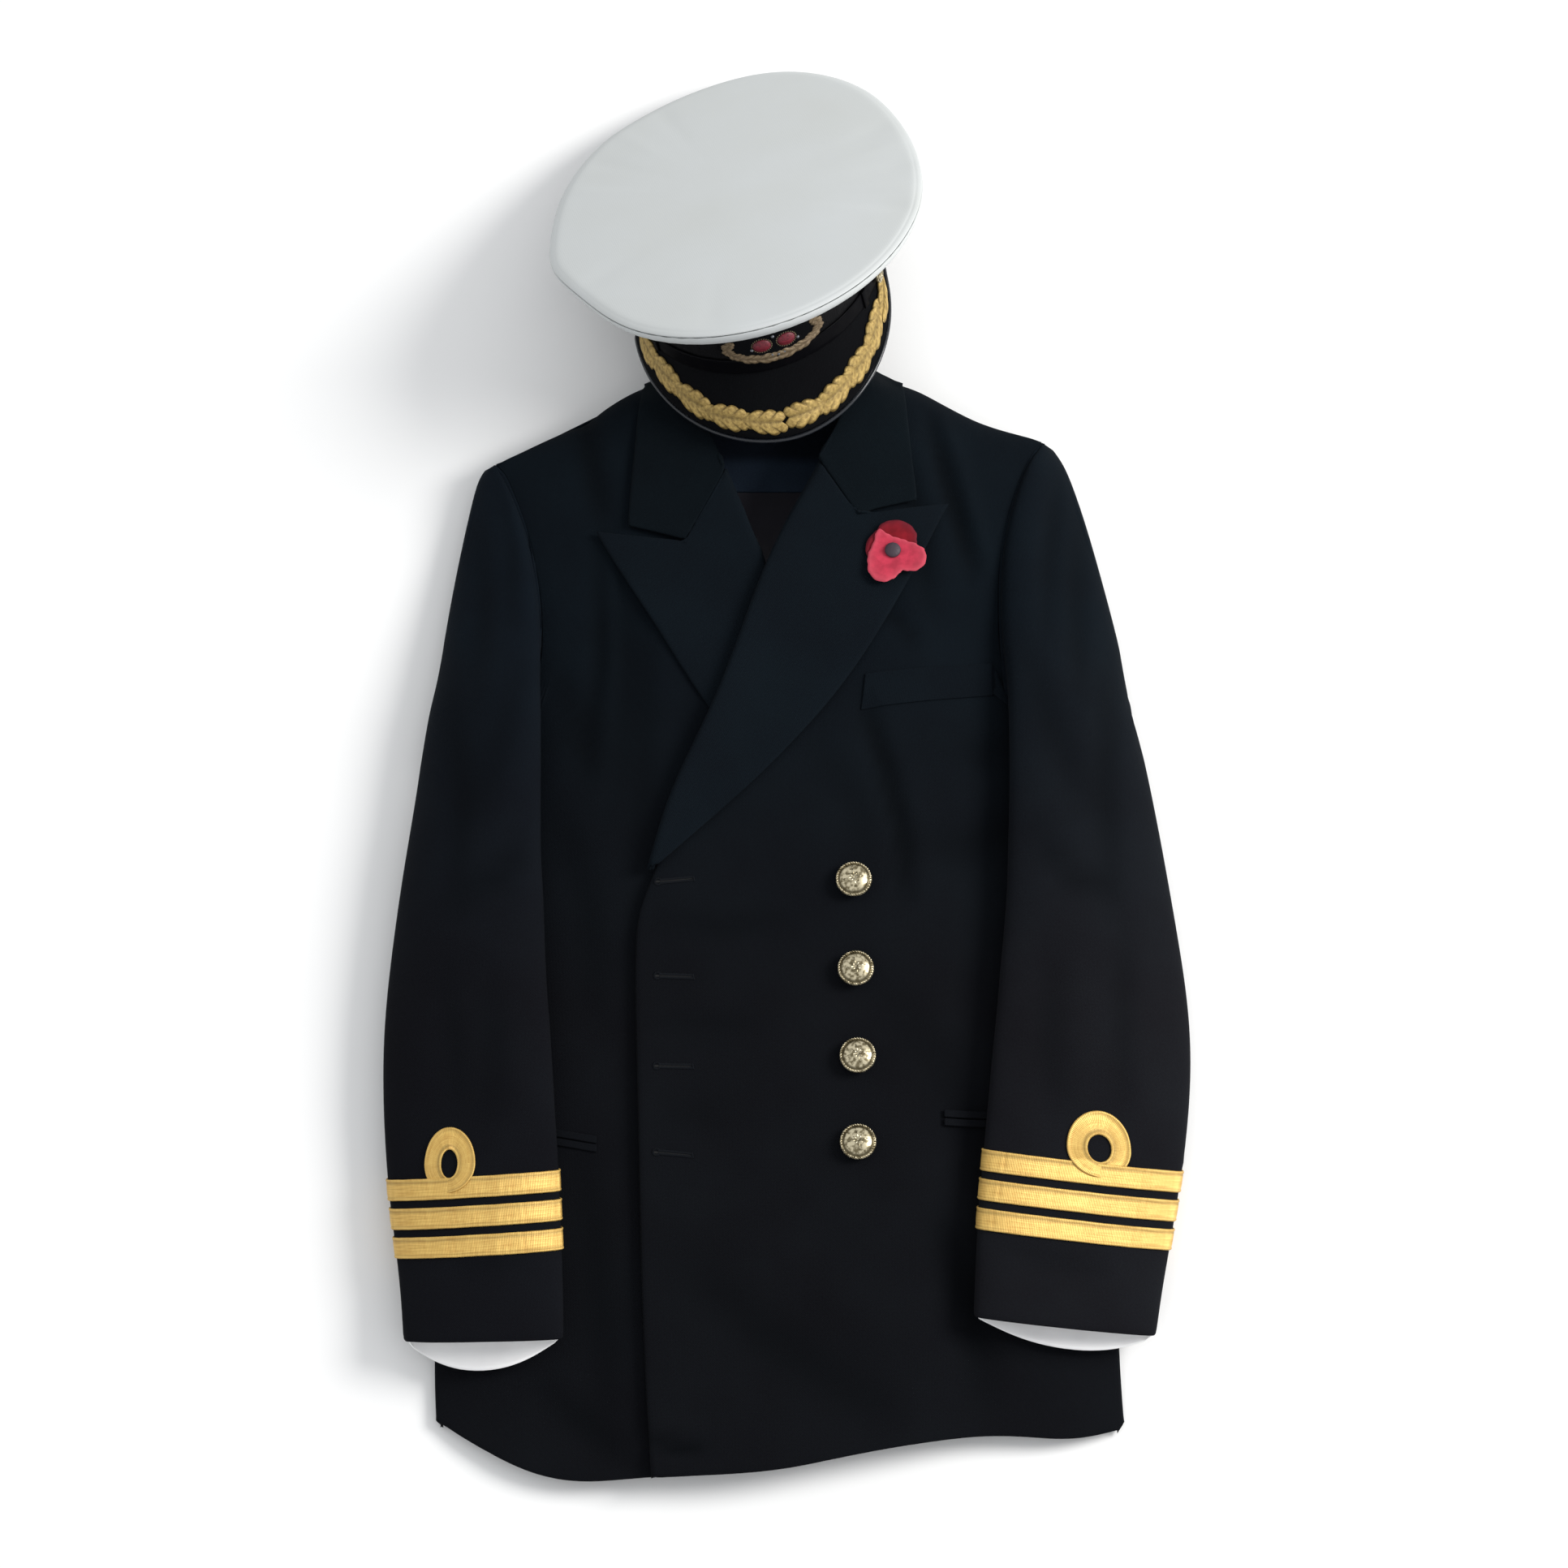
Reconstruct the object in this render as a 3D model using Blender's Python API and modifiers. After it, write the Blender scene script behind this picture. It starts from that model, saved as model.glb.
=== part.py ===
"""A naval officer's dress uniform, laid flat on its back: a double-breasted reefer jacket
with its sleeves along its sides, and a white-topped peaked cap tilted over the collar.

+X is the wearer's left, +Y runs from the hem to the neck and +Z is up from the surface that
the jacket lies on. The origin is on that surface, under the middle of the back. The tables and
the sizes are in millimetres, and MM turns them into metres where a mesh is made.
"""

import math
from collections import namedtuple

import bmesh
import bpy
from mathutils import Euler, Matrix, Vector

MM = 0.001

# Walls and clearances
CLOTH = 2.0  # barathea with its canvas
LINING = 0.9
LACE_THICK = 0.8
SEAM = 0.3  # between the pieces that a seam joins
LAYER = 0.6  # between a panel and what lies on it
LAPEL_LAYER = 1.2  # under the lapels and the collar
PATCH_LAYER = 0.9  # under the welt and the jets
UNDER_ARM_GAP = 2.5  # between the body and the sleeve that lies on it

# Body
MIDDLE_X = -2.0  # the line that the chest is highest on
LAP_LIFT = 6.4  # how far the left front stands over the right one
LAP_END = (78.0, 128.0)  # where the left front comes down off the right one's hidden edge
SHOULDER_ROUND = 18.0  # how far below the shoulder seam the pad rounds off
SHOULDER_SEAM_Z = 22.0
BACK_HEM_SHORT = 8.0
UNDER_HEM_SHORT = 2.0
UNDERARM_Y = -5.0
SCYE_BLEND = 30.0

Body = namedtuple("Body", "y crest fold left right")
BODY = [
    Body(-475, 15, 3.4, -206, 200),
    Body(-430, 17, 3.5, -214, 210),
    Body(-380, 20, 4.0, -217, 208),
    Body(-300, 26, 4.5, -216, 208),
    Body(-200, 33, 5.0, -214, 210),
    Body(-100, 39, 6.0, -212, 212),
    Body(0, 43, 6.0, -212, 212),
    Body(100, 45, 6.0, -210, 210),
    Body(200, 41, 6.0, -208, 208),
    Body(240, 36.5, 6.0, -207, 207),
    Body(290, 33, 6.0, -206, 206),
]

# The lower armholes of the two fronts. Above them, each front ends at the sleeve's own edge.
Scye = namedtuple("Scye", "y left right")
SCYE = [
    Scye(-5, -209, 209),
    Scye(5, -201, 200),
    Scye(15, -188, 185),
    Scye(25, -175, 168),
    Scye(35, -163, 153),
    Scye(48, -154.4, 141.4),
]
ARMHOLE_GAP = 1.2
BACK_SCYE_GAP = 2.2

# The armhole of the back, which reaches further out than that of the fronts
BACK_SCYE = [
    Scye(-5, -208, 208),
    Scye(18, -201, 199),
    Scye(38, -194, 186),
    Scye(54, -190, 179),
    Scye(122, -187.5, 173),
    Scye(168, -189, 172),
    Scye(208, -192, 173),
    Scye(232, -195, 176),
]

Edge = namedtuple("Edge", "x y")
HEM = [
    Edge(-216, -420), Edge(-209, -426), Edge(-183, -443), Edge(-158, -456), Edge(-132, -463),
    Edge(-82, -459), Edge(-13, -456), Edge(47, -444), Edge(87, -437), Edge(127, -431),
    Edge(162, -432), Edge(192, -436), Edge(202, -431), Edge(212, -417),
]
# Shoulder seam, dipping between the two neck points round the back of the neck
SHOULDER = [
    Edge(-200, 206), Edge(-190, 214), Edge(-141, 239), Edge(-85, 270), Edge(-62, 277),
    Edge(-38, 267), Edge(-8, 262), Edge(24, 267), Edge(49, 277), Edge(76, 267),
    Edge(106, 254), Edge(145, 238), Edge(172, 229), Edge(186, 215),
]
# The edge of each front below its lapel. Above, it follows the lapel's roll to the neck.
LEFT_FRONT_EDGE = [
    Edge(-80, -475), Edge(-84, -422), Edge(-88, -346), Edge(-92, -210), Edge(-94, -149),
    Edge(-93, -98),
]
RIGHT_FRONT_EDGE = [Edge(66, -475), Edge(70, -300), Edge(72, -92)]
EDGE_TO_ROLL = 6.1
NECK_EDGE = {"left": (Edge(46, 240), Edge(50, 292)), "right": (Edge(-59, 240), Edge(-63, 292))}

# Where the rows of a front lie between its hem and its shoulder, packed where the lapel starts
FRONT_ROWS = (
    0, 0.03, 0.08, 0.14, 0.21, 0.28, 0.35, 0.42, 0.47, 0.506, 0.54, 0.58, 0.62, 0.67, 0.73, 0.79,
    0.85, 0.9, 0.95, 1,
)

# Broad soft folds of the fronts: from one end to the other, how wide and how deep (a ridge is minus)
Fold = namedtuple("Fold", "x0 y0 x1 y1 width depth")
FOLDS = [
    Fold(60, 30, 80, -60, 34, 1.6),
    Fold(-112, 130, -108, 10, 36, 1.2),
    Fold(-80, 60, -120, -120, 40, -1.2),
    Fold(10, -330, 90, -400, 46, 1.4),
    Fold(-60, -300, -120, -400, 44, -1.2),
]

# Sleeves: sections across each one, from its hem to the shoulder. inner and outer are its two
# edges, rise and sink how far it swells over and under them, slant the slope of the section.
Sleeve = namedtuple("Sleeve", "y inner outer rise sink slant")
RIGHT_SLEEVE = [
    Sleeve(-379.5, -135, -235, 8, 17, 0.03),
    Sleeve(-345, -136, -238, 9, 15, 0.05),
    Sleeve(-315, -137, -242, 9, 13, 0.075),
    Sleeve(-276, -139, -248, 9, 12, 0.075),
    Sleeve(-227, -142, -252, 10, 12, 0.06),
    Sleeve(-180, -146, -253, 11, 12, 0.03),
    Sleeve(-131, -150, -250, 12, 12, 0.0),
    Sleeve(-66, -153, -243, 12, 11, 0.0),
    Sleeve(-18, -154, -236, 12, 10, 0.0),
    Sleeve(30, -154.5, -231, 12, 10, 0.0),
    Sleeve(44, -155, -229, 12, 10, 0.0),
    Sleeve(58, -155, -226, 12, 10, 0.0),
    Sleeve(82, -155.5, -222, 12, 10, 0.0),
    Sleeve(122, -159, -217, 11, 10, 0.0),
    Sleeve(168, -169, -209, 8, 10, 0.0),
    Sleeve(198, -180, -203, 6, 12, 0.0),
    Sleeve(208, -185.5, -200, 4, 12, 0.0),
    Sleeve(214, -190, -196, 2, 12, 0.0),
]
LEFT_SLEEVE = [
    Sleeve(-370.5, 116, 230, 8, 15, -0.12),
    Sleeve(-340, 118, 235, 9, 14, -0.11),
    Sleeve(-310, 119, 241, 9, 13, -0.13),
    Sleeve(-260, 124, 250, 9, 12, -0.13),
    Sleeve(-218, 128, 256, 10, 12, -0.08),
    Sleeve(-165, 133, 257, 11, 12, -0.04),
    Sleeve(-102, 139, 249, 12, 12, 0.0),
    Sleeve(-32, 143, 239, 12, 11, 0.0),
    Sleeve(30, 142.5, 228, 12, 10, 0.0),
    Sleeve(44, 142.2, 226, 12, 10, 0.0),
    Sleeve(58, 141.6, 223, 12, 10, 0.0),
    Sleeve(94, 139, 217, 12, 10, 0.0),
    Sleeve(138, 140, 207, 11, 10, 0.0),
    Sleeve(175, 147, 198, 8, 10, 0.0),
    Sleeve(208, 157, 188, 6, 12, 0.0),
    Sleeve(220, 164, 182.5, 4, 12, 0.0),
    Sleeve(228, 170, 177, 2, 12, 0.0),
]
SECTION_POWER = 2.7  # 2 is an ellipse, more has a flatter top and rounder edges
OUTER_LIFT = 6.0  # how high the stiff cloth bridges past the body's side
SLEEVE_SEAM_ANGLE = 25.0  # how far below each edge the seam of top and under sleeve lies
SLEEVE_SEAM_GAP = 3.0  # degrees between the two pieces there
UNDER_SLEEVE_TOP = 30.0
ARMHOLE = (30.0, 58.0)  # from the underarm up, the section opens into the armhole
SETTLE = (30.0, 135.0)  # and the sleeve comes down off the body to the armhole seam
CUFF_TILT = 0.38  # how far the cuff's sections lean back towards the elbow beneath
CUFF_LONG = (140.0, 260.0)  # above the hem, where that lean fades out

# Gold lace round the cuffs
LACE_WIDE = 13.7
RING_BOTTOMS = (54.8, 73.3, 91.8)  # above the hem of the sleeve
CURL_X = {"left": 196.0, "right": -208.0}
CURL_HALF = {"left": (21.0, 24.0), "right": (17.0, 23.4)}
CURL_HOLE = {"left": (7.6, 8.6), "right": (5.4, 8.9)}
CURL_RISE = 113.5  # centre of the curl above the hem

# Satin sleeve lining
LINING_OUT = {"left": 15.5, "right": 21.0}  # how far it hangs out of the lower half of the mouth

# Lapels and collar
LAPEL_WALL = 2.2
LAPEL_LIFT = 1.8  # how far the roll stands over the flat of the lapel
ROLL_INSET = 4.3
LapelRow = namedtuple("LapelRow", "roll_x roll_y edge_x edge_y")
LEFT_LAPEL = [
    LapelRow(-87, -74, -80, -72),
    LapelRow(-75, -27, -22, -20),
    LapelRow(-62, 2, 8, 12),
    LapelRow(-48, 31, 36, 45),
    LapelRow(-29, 82, 62, 86),
    LapelRow(-13, 134, 88, 136),
    LapelRow(1, 163, 101, 165),
]
RIGHT_LAPEL = [
    LapelRow(62, -68, 55, -66),
    LapelRow(44, -24, -4, -18),
    LapelRow(24, 26, -49, 32),
    LapelRow(5, 80, -82, 92),
    LapelRow(-7, 122, -106, 130),
    LapelRow(-14, 144, -116, 148),
]
# The last row of each lapel and the first of the collar: the gorge, bent at the notch
Gorge = namedtuple("Gorge", "roll notch peak collar_corner")
LEFT_GORGE = Gorge((22.5, 207), (48, 167), (107, 178), (86, 177.5))
RIGHT_GORGE = Gorge((-37, 204), (-64, 151), (-122, 160), (-101, 162))
GORGE_GAP = 1.5
Collar = namedtuple("Collar", "fold_x fold_y fold_z edge_x edge_y edge_z stand")
COLLAR = [
    Collar(-46, 224, 44.5, -99, 200, 30, 4),
    Collar(-54, 241, 42, -96, 238, 30, 8),
    Collar(-56, 252, 41.5, -95, 256, 30, 10),
    Collar(-53, 262, 41, -92, 274, 24, 13),
    Collar(-36, 274, 42, -56, 293, 20, 17),
    Collar(-8, 278, 44, -8, 299, 18, 18),
    Collar(20, 275, 47, 42, 293, 20, 18),
    Collar(39, 262, 48, 78, 271, 32, 14),
    Collar(41, 252, 48.5, 80, 256, 38, 10),
    Collar(38, 241, 49, 81, 238, 34, 8),
    Collar(30, 224, 50, 84, 200, 40, 4),
]

# Pockets
WELT_WALL = 1.2
WELT_LOW = (Edge(49, 33), Edge(134, 47))
WELT_HIGH = (Edge(52, 57), Edge(134, 69))
Jet = namedtuple("Jet", "name x0 y0 x1 y1")
JETS = [
    Jet("hip_jet_upper_right", -188, -233, -117, -246.0),
    Jet("hip_jet_lower_right", -188, -238.5, -117, -251.5),
    Jet("hip_jet_upper_left", 100, -230.5, 190, -230.5),
    Jet("hip_jet_lower_left", 100, -236, 190, -236),
]
JET_WIDE = 4.6
JET_WALL = 1.1

# Buttons
BUTTON_RADIUS = 11.5
BUTTON_DOME = 5.5
BUTTON_RIM = 2.2
BUTTONS = [Edge(44, -82), Edge(45, -140), Edge(46, -196), Edge(46, -251)]
BUTTON_LEAN = 0.5

# Flower pinned on the left lapel
FLOWER_AT = Edge(70, 138)
FLOWER_RADIUS = 19.0
FLOWER_WALL = 1.2
FLOWER_CENTRE_RADIUS = 5.2

# Neck
FACING_LOW_Y = 203.0
LINING_LOW = 22.0  # above the back's hem

# Cap, in its own frame: the origin is the middle of the band's lower edge, -Y is its front
CAP_AT = (-18.0, 341.0, 45.0)
CAP_TURN = (25.0, -10.0, 4.5)  # tipped back, rolled to the wearer's right, yawed
HEAD_HALF = (82.0, 99.0)
BAND_TALL = 41.0
BAND_WALL = 2.4
CROWN_HALF = 126.0
CROWN_FRONT = 144.0
CROWN_REAR = 150.0
CROWN_FRONT_TALL = 74.0
CROWN_REAR_TALL = 44.0
CROWN_DOME = 3.5
# How far the crown's soft edge stands outside a true oval, round it from the wearer's left
CrownRow = namedtuple("CrownRow", "turn out")
CROWN_SHAPE = [
    CrownRow(0, -4), CrownRow(20, -4), CrownRow(30, -2), CrownRow(42, 2), CrownRow(55, 5.5),
    CrownRow(74, 8), CrownRow(90, 4), CrownRow(104, 0.5), CrownRow(119, -0.5), CrownRow(132, 2),
    CrownRow(146, 0.5), CrownRow(160, 0), CrownRow(174, -1), CrownRow(184, 1.2), CrownRow(190, 3),
    CrownRow(200, -2), CrownRow(212, -5), CrownRow(230, -1.5), CrownRow(246, 0), CrownRow(300, 0),
    CrownRow(340, -1.5), CrownRow(360, -4),
]
CAP_COLUMNS = 36
CoverRow = namedtuple("CoverRow", "reach rise sag")
COVER_SIDE = [
    CoverRow(0.0, 0.0, 0.0),
    CoverRow(0.28, 0.20, 1.0),
    CoverRow(0.58, 0.42, 2.5),
    CoverRow(0.85, 0.66, 3.0),
    CoverRow(0.97, 0.84, 2.0),
    CoverRow(1.0, 0.94, 0.8),
    CoverRow(1.0, 1.0, 0.0),
]
CAP_FRONT = 275.6  # the middle of the peak and of the badge, round the band
PEAK_SPREAD = 84.0  # degrees to each side of the front
PEAK_DEEP = 44.0
PEAK_NARROW = 1.2
PEAK_ROUND = 1.7  # how fast it narrows to its ends
PEAK_SKEW = 7.5  # worn wider on the wearer's right
PEAK_LEAST = 2.0
PEAK_LEAN = 0.71
PEAK_DROP = 58.8
PEAK_WALL = 2.2
BINDING_RADIUS = 1.6
LEAVES_INSET = 2.6  # from the rim of the peak
LEAVES_WIDE = 17.4
LEAVES_MEET = -0.03
LEAVES_END = {"left": 0.68, "right": -0.93}
LEAVES_WALL = 1.2
BADGE_HALF = (35.0, 14.5)
BADGE_MIDDLE_Z = 25.5
BADGE_WALL = 2.4
STRAP_LOW = 2.0
STRAP_WIDE = 12.0
STRAP_WALL = 1.3
STRAP_BUTTON_RADIUS = 6.0

NAVY = (0.012, 0.015, 0.022, 1)
GOLD = (0.70, 0.45, 0.14, 1)
GILT = (0.78, 0.70, 0.50, 1)
WHITE = (0.80, 0.80, 0.79, 1)
BLACK = (0.01, 0.01, 0.012, 1)
BLUE = (0.012, 0.020, 0.045, 1)
BROWN_BLACK = (0.018, 0.015, 0.014, 1)
RED = (0.55, 0.06, 0.09, 1)
TAN = (0.30, 0.17, 0.08, 1)


# ---------------------------------------------------------------- shapes from tables


def reader(rows, key, value):
    """Reads one column of a table between its rows, on a curve that never overshoots them."""
    rows = sorted(rows, key=lambda row: getattr(row, key))
    at = [float(getattr(row, key)) for row in rows]
    to = [float(getattr(row, value)) for row in rows]
    step = [at[i + 1] - at[i] for i in range(len(at) - 1)]
    slope = [(to[i + 1] - to[i]) / step[i] for i in range(len(step))]
    bend = [slope[0]]
    for i in range(1, len(slope)):
        if slope[i - 1] * slope[i] <= 0:
            bend.append(0.0)
        else:
            first = 2 * step[i] + step[i - 1]
            second = step[i] + 2 * step[i - 1]
            bend.append((first + second) / (first / slope[i - 1] + second / slope[i]))
    bend.append(slope[-1])

    def read(place):
        place = min(max(place, at[0]), at[-1])
        i = 0
        while i < len(step) - 1 and place > at[i + 1]:
            i += 1
        part = (place - at[i]) / step[i]
        back = 1 - part
        return (
            to[i] * (1 + 2 * part) * back**2
            + bend[i] * step[i] * part * back**2
            + to[i + 1] * part**2 * (3 - 2 * part)
            - bend[i + 1] * step[i] * part**2 * back
        )

    return read


def mix(first, second, part):
    return first + (second - first) * part


def ease(low, high, value):
    """0 below low, 1 above high, and a soft step between them."""
    part = min(max((value - low) / (high - low), 0.0), 1.0)
    return part * part * (3 - 2 * part)


crest_at = reader(BODY, "y", "crest")
fold_at = reader(BODY, "y", "fold")
side_at = {"left": reader(BODY, "y", "right"), "right": reader(BODY, "y", "left")}
scye_at = {"left": reader(SCYE, "y", "right"), "right": reader(SCYE, "y", "left")}
back_scye_at = {"left": reader(BACK_SCYE, "y", "right"), "right": reader(BACK_SCYE, "y", "left")}
hem_at = reader(HEM, "x", "y")
shoulder_at = reader(SHOULDER, "x", "y")
sleeve_inner_at = {
    "left": reader(LEFT_SLEEVE, "y", "inner"),
    "right": reader(RIGHT_SLEEVE, "y", "inner"),
}


def front_edge(side, below, lapel_rows, gorge):
    """The free edge of a front: its own line, the roll of its lapel, and the neck seam."""
    outward = 1 if side == "left" else -1
    rolls = [Edge(row.roll_x + outward * EDGE_TO_ROLL, row.roll_y) for row in lapel_rows]
    top = Edge(gorge.roll[0] + outward * EDGE_TO_ROLL, gorge.roll[1])
    return reader([*below, *rolls, top, *NECK_EDGE[side]], "y", "x")


front_edge_at = {
    "left": front_edge("left", LEFT_FRONT_EDGE, LEFT_LAPEL, LEFT_GORGE),
    "right": front_edge("right", RIGHT_FRONT_EDGE, RIGHT_LAPEL, RIGHT_GORGE),
}


def fold_depth(x, y):
    """How far the broad folds lower the fronts at a point."""
    total = 0.0
    for fold in FOLDS:
        run = Vector((fold.x1 - fold.x0, fold.y1 - fold.y0))
        offset = Vector((x - fold.x0, y - fold.y0))
        along = offset.dot(run) / run.length_squared
        near = min(max(along, 0.0), 1.0)
        away = (offset - run * near).length / fold.width
        if away < 1:
            total += fold.depth * (0.5 + 0.5 * math.cos(math.pi * away))
    return total


def body_top(x, y):
    """The height of the right front's cloth, which every other layer of the front is built on."""
    side = "left" if x > MIDDLE_X else "right"
    fold = fold_at(y)
    reach = abs(side_at[side](y) - MIDDLE_X) - fold
    part = min(abs(x - MIDDLE_X) / reach, 1.0)
    height = 2 * fold + (crest_at(y) - 2 * fold) * (1 - part**2.4) ** 0.6
    height -= fold_depth(x, y)
    below = shoulder_at(x) - y
    if below < SHOULDER_ROUND:
        bend = min(1 - below / SHOULDER_ROUND, 1.0)
        height = mix(SHOULDER_SEAM_Z, height, math.sqrt(1 - bend**2))
    return height


def left_top(x, y):
    """The height of the left front, which laps over the right one."""
    lap = LAP_LIFT * (1 - ease(*LAP_END, x)) * ease(0, 40, shoulder_at(x) - y)
    return body_top(x, y) + lap


# ---------------------------------------------------------------- meshes


def material(name, colour, roughness, metallic=0.0):
    made = bpy.data.materials.new(name)
    made.use_nodes = True
    shader = made.node_tree.nodes["Principled BSDF"]
    shader.inputs["Base Color"].default_value = colour
    shader.inputs["Roughness"].default_value = roughness
    shader.inputs["Metallic"].default_value = metallic
    made.diffuse_color = colour
    return made


def place(name, mesh, finish):
    """Makes a mesh into an object of the uniform's collection, with its own material."""
    mesh.materials.append(material(name, *finish))
    mesh.shade_smooth()
    made = bpy.data.objects.new(name, mesh)
    uniform.objects.link(made)
    return made


def grid_mesh(name, points):
    """A sheet through rows of points. Columns across rows, by the right hand, is its outer side."""
    rows = len(points)
    columns = len(points[0])
    work = bmesh.new()
    bmesh.ops.create_grid(work, x_segments=columns - 1, y_segments=rows - 1, size=1)
    ordered = sorted(work.verts, key=lambda vert: (round(vert.co.y, 5), round(vert.co.x, 5)))
    for index, vert in enumerate(ordered):
        vert.co = Vector(points[index // columns][index % columns]) * MM
    bmesh.ops.remove_doubles(work, verts=work.verts, dist=1e-6)
    mesh = bpy.data.meshes.new(name)
    work.to_mesh(mesh)
    work.free()
    return mesh


def sheet(name, points, wall, finish):
    """A cloth panel: the sheet's points are its outer side, and Solidify gives it its wall."""
    made = place(name, grid_mesh(name, points), finish)
    solid = made.modifiers.new("wall", "SOLIDIFY")
    solid.thickness = wall * MM
    solid.offset = -1
    return made


def lathe(name, profile, finish, steps=16):
    """A round piece turned from a profile that runs down its outer side."""
    work = bmesh.new()
    verts = [work.verts.new((radius * MM, 0, height * MM)) for radius, height in profile]
    for first, second in zip(verts, verts[1:]):
        work.edges.new((first, second))
    mesh = bpy.data.meshes.new(name)
    work.to_mesh(mesh)
    work.free()
    made = place(name, mesh, finish)
    screw = made.modifiers.new("turn", "SCREW")
    screw.steps = screw.render_steps = steps
    screw.use_merge_vertices = True
    screw.merge_threshold = 1e-6
    return made


def button(name, radius, dome, rim, finish):
    profile = [(0, rim + dome)]
    for step in range(1, 5):
        angle = math.radians(90 - 18 * step)
        profile.append((0.93 * radius * math.cos(angle), rim + dome * math.sin(angle)))
    profile += [(0.97 * radius, rim * 1.15), (radius, rim * 0.7), (0.9 * radius, 0), (0, 0)]
    return lathe(name, profile, finish)


# ---------------------------------------------------------------- body


def body_grid(low_x, high_x, low_y, high_y, columns, rows):
    """Plan points of a panel between two side lines, read by y, and two end lines, read by x."""
    points = []
    for row in rows:
        line = []
        for column in columns:
            y = mix(low_y(0), high_y(0), row)
            for _ in range(8):
                x = mix(low_x(y), high_x(y), column)
                y = mix(low_y(x), high_y(x), row)
            line.append((x, y))
        points.append(line)
    return points


def front(name, side, height, hem_lift):
    """A front panel: from its free edge over the chest to the side, where it rolls under."""
    outward = 1 if side == "left" else -1

    def panel_side(y):
        if y < UNDERARM_Y:
            return side_at[side](y)
        if y < SCYE[-1].y:
            return scye_at[side](y)
        return sleeve_inner_at[side](y) - outward * ARMHOLE_GAP

    def flat_side(y):
        return panel_side(y) - outward * mix(10.0, fold_at(y), ease(0, SCYE_BLEND, UNDERARM_Y - y))

    columns = [i / 10 for i in range(11)]
    plan = body_grid(
        front_edge_at[side],
        flat_side,
        lambda x: hem_at(x) + hem_lift,
        lambda x: shoulder_at(x) - SHOULDER_ROUND,
        columns,
        FRONT_ROWS,
    )
    for below in (SHOULDER_ROUND * 0.5, SHOULDER_ROUND * 0.13, 0.4):
        def seam(x):
            return shoulder_at(x) - below

        plan += body_grid(front_edge_at[side], flat_side, seam, seam, columns, [1])
    points = []
    for part, line in zip([*FRONT_ROWS, 1, 1, 1], plan):
        row = [(x, y, height(x, y)) for x, y in line]
        x, y = line[-1]
        fold = fold_at(y)
        rolled = ease(0, SCYE_BLEND, UNDERARM_Y - y)
        drop = (shoulder_at(x + outward * 10) - shoulder_at(x)) * ease(0.8, 1, part)
        for step in (1, 2, 3, 4, 5):
            angle = math.radians(90 - 45 * min(step, 4))
            flat_x = mix(x, panel_side(y + drop), step / 5)
            arc_x = x + outward * (fold * math.cos(angle) - (step > 4))
            arc_z = fold + fold * math.sin(angle)
            at_x = mix(flat_x, arc_x, rolled)
            at_y = y + (hem_at(at_x) - hem_at(x)) * (1 - ease(0, 0.1, part))
            at_y += (shoulder_at(at_x) - shoulder_at(x)) * ease(0.8, 1, part)
            row.append((at_x, at_y, mix(height(flat_x, at_y), arc_z, rolled)))
        if side == "right":
            row.reverse()
        points.append(row)
    sheet(name, points, CLOTH, (NAVY, 0.85))


def back():
    """The back panel lies flat, and turns up to the shoulder seams and the neck."""

    def edge(side, outward):
        def read(y):
            if y < UNDERARM_Y:
                return side_at[side](y) - outward * (fold_at(y) + 1 + 3 * SEAM)
            return back_scye_at[side](y) - outward * (BACK_SCYE_GAP + 6 * (1 - ease(0, 30, y + 5)))

        return read

    plan = body_grid(
        edge("left", 1),
        edge("right", -1),
        lambda x: hem_at(x) + BACK_HEM_SHORT,
        lambda x: shoulder_at(x) - SHOULDER_ROUND,
        [i / 10 for i in range(11)],
        [i / 12 for i in range(13)],
    )
    points = [[(x, y, 0.0) for x, y in line] for line in plan]
    for bend in (30, 60, 84):
        angle = math.radians(bend)
        points.append([
            (
                x,
                shoulder_at(x) - SHOULDER_ROUND * (1 - math.sin(angle)),
                (SHOULDER_SEAM_Z - 0.9) * (1 - math.cos(angle)),
            )
            for x, _ in plan[-1]
        ])
    sheet("back", points, CLOTH, (NAVY, 0.85))


def back_lining():
    """The lining that shows inside the neck, lying on the back from its hem to the facing."""
    points = body_grid(
        lambda y: -168.0,
        lambda y: 160.0,
        lambda x: hem_at(x) + BACK_HEM_SHORT + LINING_LOW,
        lambda x: FACING_LOW_Y - SEAM,
        [i / 6 for i in range(7)],
        [i / 8 for i in range(9)],
    )
    height = CLOTH + LAYER + LINING
    sheet(
        "back_lining",
        [[(x, y, height) for x, y in line] for line in points],
        LINING,
        (BROWN_BLACK, 0.45),
    )


def neck_facing():
    """The facing inside the back of the neck, from the lining up to the collar's stand."""
    height = CLOTH + LAYER + LINING
    points = []
    for y, z in ((FACING_LOW_Y, 0), (222, 0), (240, 0.4), (250, 4.0), (256, 11.0), (259, 19.0)):
        narrow = max(0.0, y - 240) * 0.9
        points.append([(mix(-62 + narrow, 50 - narrow, i / 8), y, height + z) for i in range(9)])
    sheet("neck_facing", points, LINING, (BLUE, 0.6))


# ---------------------------------------------------------------- sleeves


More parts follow.
